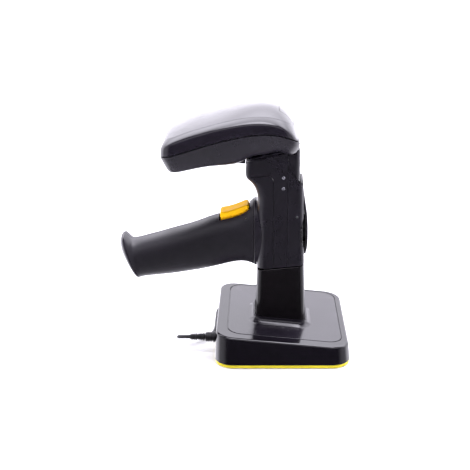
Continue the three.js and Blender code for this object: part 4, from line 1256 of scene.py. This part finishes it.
def neck_collar():
    """A tray between body and head: a ledge on the body, a waist, and a lip that leans in at its top."""
    def ring(inset, rise):
        left, right, half = NECK["left"] + inset, NECK["right"] - inset, NECK["half"] - inset
        return over(rounded(left, right, half, max(NECK["corner"] - inset, 1.5), arc=10), body_top, rise)

    ledge = [(7, 0.3), (1.9, 0.3), (1.75, 0.4), (1.75, 0.65), (1.95, 0.85)]
    waist = [(4.6, 1), (4.8, 1.3), (4.7, 1.6)]
    lip = [(0.4, 1.75), (0.1, 1.9), (0, 2.1), (0.15, 2.35), (0.6, 2.7), (3.2, 4), (4, 4.2), (7, 4.4)]
    collar = loft("collar", [ring(inset, rise) for inset, rise in (*ledge, *waist, *lip)], wrap=True)
    cut(collar, head_keep_out())
    return stands_for(shade(collar), "neck_collar", "charcoal_gloss", slot="charcoal_plastic")


def neck_gusset():
    wedge = prism_xz([(-56, 166), (-31.2, 165.3), (-31.2, 173), (-56, 169)], -15, 15)
    cut(wedge, head_keep_out())
    return stands_for(shade(soften(wedge, 0.5, 3)), "neck_gusset", "black_plastic")


# ---------------------------------------------------------------- the grip

# Upper edge (x, z), lower edge (x, z) and half width of each section, from the collar to the flared end.
GRIP_SECTIONS = [
    (-24.6, 130.5, -24.6, 72.4, 17.6),
    (-29.5, 126, -29.5, 74.3, 17),
    (-40, 120.2, -39, 74.8, 16.6),
    (-55, 116.6, -51, 72.2, 16.3),
    (-76, 109.2, -70, 67.8, 16),
    (-94.2, 104, -88, 64.7, 15.6),
    (-108, 99.9, -101, 63, 15.3),
    (-119, 96.9, -110, 62.1, 15.2),
    (-127.5, 94.9, -117, 61.4, 15.3),
    (-131.7, 95.7, -120.4, 60.9, 15.9),
    (-134.4, 98.4, -122.2, 60.5, 16.8),
    (-136.4, 100.1, -123.2, 60.2, 17.6),
]
CAP_SECTIONS = [
    (-136.7, 100.1, -123.5, 60.2, 17.6),
    (-138.9, 98.6, -125.4, 59.9, 16.8),
    (-139.9, 94.4, -128, 63.2, 13.6),
    (-140, 88, -133, 71.2, 7.5),
]


def fine_sections(sections, steps):
    """More sections between the given ones, on smooth curves through each of their five numbers."""
    along = [0]
    for a, b in zip(sections, sections[1:]):
        step_x, step_z = (a[0] + a[2] - b[0] - b[2]) / 2, (a[1] + a[3] - b[1] - b[3]) / 2
        along.append(along[-1] + math.hypot(step_x, step_z))
    curves = [spline(list(zip(along, column))) for column in zip(*sections)]
    return [[curve(along[-1] * i / steps) for curve in curves] for i in range(steps + 1)]


def grip_ring(section, inset=0, start=0, end=2 * math.pi, steps=96, floor_y=None):
    """Points of one section, an oval squared off a little, counted from its upper edge."""
    top_x, top_z, low_x, low_z, wide = section
    along = Vector((top_x - low_x, top_z - low_z))
    tall = along.length / 2 - inset
    along.normalize()
    middle = Vector((top_x + low_x, top_z + low_z)) / 2
    points = []
    for i in range(steps + 1):
        angle = lerp(start, end, i / steps)
        u, v = math.cos(angle), math.sin(angle)
        s = tall * math.copysign(abs(u) ** (2 / GRIP["power"]), u)
        y = (wide - inset) * math.copysign(abs(v) ** (2 / GRIP["power"]), v)
        if floor_y is not None:
            y = math.copysign(max(abs(y), floor_y), floor_y if abs(v) < 1e-6 else v)
        points.append((middle.x + along.x * s, y, middle.y + along.y * s))
    return points


def closed_ring(section, inset=0):
    return grip_ring(section, inset)[:-1]


def grip_shell(node, side):
    sections = fine_sections(GRIP_SECTIONS, 84)
    rows = []
    for section in sections:
        half = grip_ring(section, 0, 0, math.pi, 56, GAP / 2)
        rows.append([(x, side * abs(y), z) for x, y, z in half])
    shell = facing_out(grid("grip", rows), (-75, side * 2, 92))
    solidify(shell, GRIP["wall"])
    soften(shell, 0.22, 2, 50)
    reach = TRIGGER["half"] + 0.5
    opening = prism_xz([(-54.1, 104), (-27.8, 104), (-27.8, 140), (-54.1, 140)], -reach, reach)
    cut(shell, opening)
    return stands_for(shade(shell), node, "charcoal_grip", slot="charcoal_plastic")


def grip_collar():
    """Fills the wedge between the grip's flat end and the body's rounded front, with a rolled rim."""
    def ring(x, inset):
        return [(x, y, z) for _, y, z in closed_ring((0, 131.3, 0, 71.5, 18.4), inset)]

    start = GRIP["start"] + GAP
    rim = [(start, 0.9), (start + 0.1, 0.4), (start + 0.45, 0.08), (start + 0.9, 0), (-13, 0)]
    blank = loft("collar", [ring(x, inset) for x, inset in rim])
    levels = [60, 92, 100, 107, 113, 119, 126, 132, 137, 141, 145, 149, 152, 154.5]

    def body_ring(z):
        corner = front_corner(z) + GAP
        half = BODY["half"] + GAP
        return level(rounded(body_left(z) - GAP, 25, half, corner, 5, arc=14, along=10, across=6), z)

    cut(blank, loft("body", [body_ring(z) for z in levels]), block(-30, -10, -5, 5, 90, 120))
    return stands_for(shade(blank), "grip_collar", "charcoal_plastic")


def grip_end_cap():
    """A domed cap over the grip's flared end, with a seat for its screw."""
    first, *sections = fine_sections(CAP_SECTIONS, 14)
    rings = [closed_ring(CAP_SECTIONS[0], 3), closed_ring(CAP_SECTIONS[0], 0.5), closed_ring(first, 0.35)]
    rings += [closed_ring(section) for section in sections]
    top_x, top_z, low_x, low_z, wide = CAP_SECTIONS[-1]
    middle_x, middle_z = (top_x + low_x) / 2, (top_z + low_z) / 2
    for k in (0.6, 0.25, 0.03):
        top = lerp(middle_x, top_x, k), lerp(middle_z, top_z, k)
        low = lerp(middle_x, low_x, k), lerp(middle_z, low_z, k)
        rings.append(closed_ring((*top, *low, wide * k)))
    cap = loft("cap", rings)
    turn = math.radians(-108)
    axis = Vector((math.sin(turn), 0, math.cos(turn)))
    seat = Vector((-137.1, 0, 80.3))
    cut(cap, rod(2.9, seat - axis * 0.6, seat + axis * 8))
    return stands_for(shade(cap), "grip_end_cap", "charcoal_gloss", slot="charcoal_plastic")


def trigger():
    """A finger lever with a dished top, rolled edges and a hollow underside."""
    top = through([
        (-53.2, 0, 119.6), (-52.2, 0, 120.8), (-45.6, 0, 122.2), (-38, 0, 124.7), (-31.8, 0, 127.2),
        (-29.6, 0, 127.3), (-28.4, 0, 125.4),
    ], 6)
    low = [(-28.4, 0, 124.2), (-32, 0, 122.4), (-37.2, 0, 119.8), (-45.5, 0, 117.6), (-53.2, 0, 116.4)]
    half, skirt = TRIGGER["half"], TRIGGER["skirt"]
    steps = 16
    round_edge = 1.5
    corner = 2.6

    def slice_at(y):
        away = max(abs(y) - (half - round_edge), 0)
        drop = round_edge - math.sqrt(max(round_edge ** 2 - away ** 2, 0))
        out = max(abs(y) - (half - corner), 0)
        pull = corner - math.sqrt(max(corner ** 2 - out ** 2, 0))
        dish = 0.5 * (1 - (y / half) ** 2)
        points = []
        for p in top:
            share = smoothstep(p.x, -53.4, -51) * smoothstep(-p.x, 28.4, 31)
            points.append((p.x, p.z - drop - dish * share))
        points += [(x, z) for x, _, z in low]
        return [(min(max(x, pull - 53.2), -28.4 - pull), y, z) for x, z in points]

    places = [-half, -half + 0.05, -half + 0.2, -half + 0.45, -half + 0.8, -half + 1.15, -half + 1.8]
    inner = [lerp(corner - half, half - corner, i / steps) for i in range(steps + 1)]
    places = [*places, *inner, *[-y for y in reversed(places)]]
    lever = loft("trigger", [slice_at(y) for y in places])
    foot = [(-52.6, 118), (-45.6, 120), (-38, 122.4), (-31.8, 124.8), (-28.6, 123.4)]
    foot += [(-28.6, 113.8), (-33, 113.2), (-45, 111.4), (-52.6, 110.4)]
    combine(lever, prism_xz(foot, -skirt, skirt), "UNION")
    hollow = [(-51, 108), (-51, 116), (-44, 118.4), (-34.5, 121), (-34.5, 108)]
    wall = TRIGGER["wall"]
    cut(lever, prism_xz(hollow, wall - skirt, skirt - wall))
    combine(lever, block(-40.6, -37.4, -2, 2, 109.4, 120), "UNION")
    cut(lever, rod(1.5, (TRIGGER["x"], -20, TRIGGER["z"]), (TRIGGER["x"], 20, TRIGGER["z"]), 32))
    return stands_for(shade(lever, 38), "trigger", "yellow_plastic")


# ---------------------------------------------------------------- floor and light


def make_floor():
    bm = bmesh.new()
    bmesh.ops.create_grid(bm, x_segments=8, y_segments=8, size=12)
    floor = mesh_object("floor", bm)
    floor.location.z = -0.0002
    look = Look("floor")
    tone = look.mix(look.spread(look.noise(400, 2), 0, 1), (0.86, 0.86, 0.86), (0.88, 0.88, 0.88))
    floor.data.materials.append(look.finish(tone, look.spread(look.noise(30, 2), 0.85, 0.95)))
    floor.visible_glossy = False


def make_light():
    """Soft studio light from the world itself: brightest above and behind, weak in front and below."""
    world = bpy.data.worlds.new("studio")
    bpy.context.scene.world = world
    world.use_nodes = True
    nodes = Nodes(world.node_tree)
    nodes.tree.nodes.clear()
    place = nodes.add("ShaderNodeTexCoord").outputs["Generated"]
    split = nodes.add("ShaderNodeSeparateXYZ")
    nodes.link(place, split.inputs[0])

    def ramp(axis, start, end, strength):
        """Rises from nothing at start to strength at end, by one part of the direction looked in."""
        way = split.outputs[axis]
        return nodes.spread(way, 0, strength, start, end, interpolation_type="SMOOTHSTEP")

    def total(a, b):
        return nodes.maths("ADD", a, b)

    def both(a, b):
        return nodes.maths("MULTIPLY", a, b)

    behind = both(ramp("Y", -0.05, 0.45, 1.0), total(ramp("Z", 0.33, 0.66, 3.0), 2.4))
    strip = both(both(ramp("Z", 0.48, 0.58, 1.0), ramp("Z", 0.8, 0.72, 2.0)), ramp("Y", -0.3, -0.5, 1.0))
    boxes = [
        behind,
        strip,
        ramp("Z", 0.92, 0.97, 10.0),
        ramp("Z", -0.45, -0.95, 0.6),
        ramp("X", -0.6, -0.95, 1.1),
        ramp("X", 0.65, 0.98, 1.0),
    ]
    strength = 0.04
    for box in boxes:
        strength = total(box, strength)
    lit, seen = (nodes.add("ShaderNodeBackground") for _ in range(2))
    lit.inputs["Color"].default_value = (0.93, 0.91, 1, 1)
    nodes.link(strength, lit.inputs["Strength"])
    seen.inputs["Color"].default_value = (1, 1, 1, 1)
    pick = nodes.add("ShaderNodeMixShader")
    camera_ray = nodes.add("ShaderNodeLightPath").outputs["Is Camera Ray"]
    for source, socket in zip((camera_ray, lit.outputs[0], seen.outputs[0]), pick.inputs):
        nodes.link(source, socket)
    nodes.link(pick.outputs[0], nodes.add("ShaderNodeOutputWorld").inputs["Surface"])
    bpy.context.scene.view_settings.view_transform = "Standard"


# ---------------------------------------------------------------- assembly

finish_cad_nodes()
make_camera()
make_cord()

foot_pad()
base_shell()
top_panel()
column_shell()
cable_gland()

front_cover()
body_core()
rear_cover()
rear_strip()
mount_plate()
release_ring()
power_button()
for number, height in enumerate(LENS_HEIGHTS, 1):
    status_lens_piece(number, height)
side_screw("side_screw_near", -1)
side_screw("side_screw_far", 1)

head_upper()
scan_window()
head_lower()
head_gasket()
neck_collar()
neck_gusset()

grip_shell("grip_shell_near", -1)
grip_shell("grip_shell_far", 1)
grip_collar()
grip_end_cap()
trigger()

make_floor()
make_light()
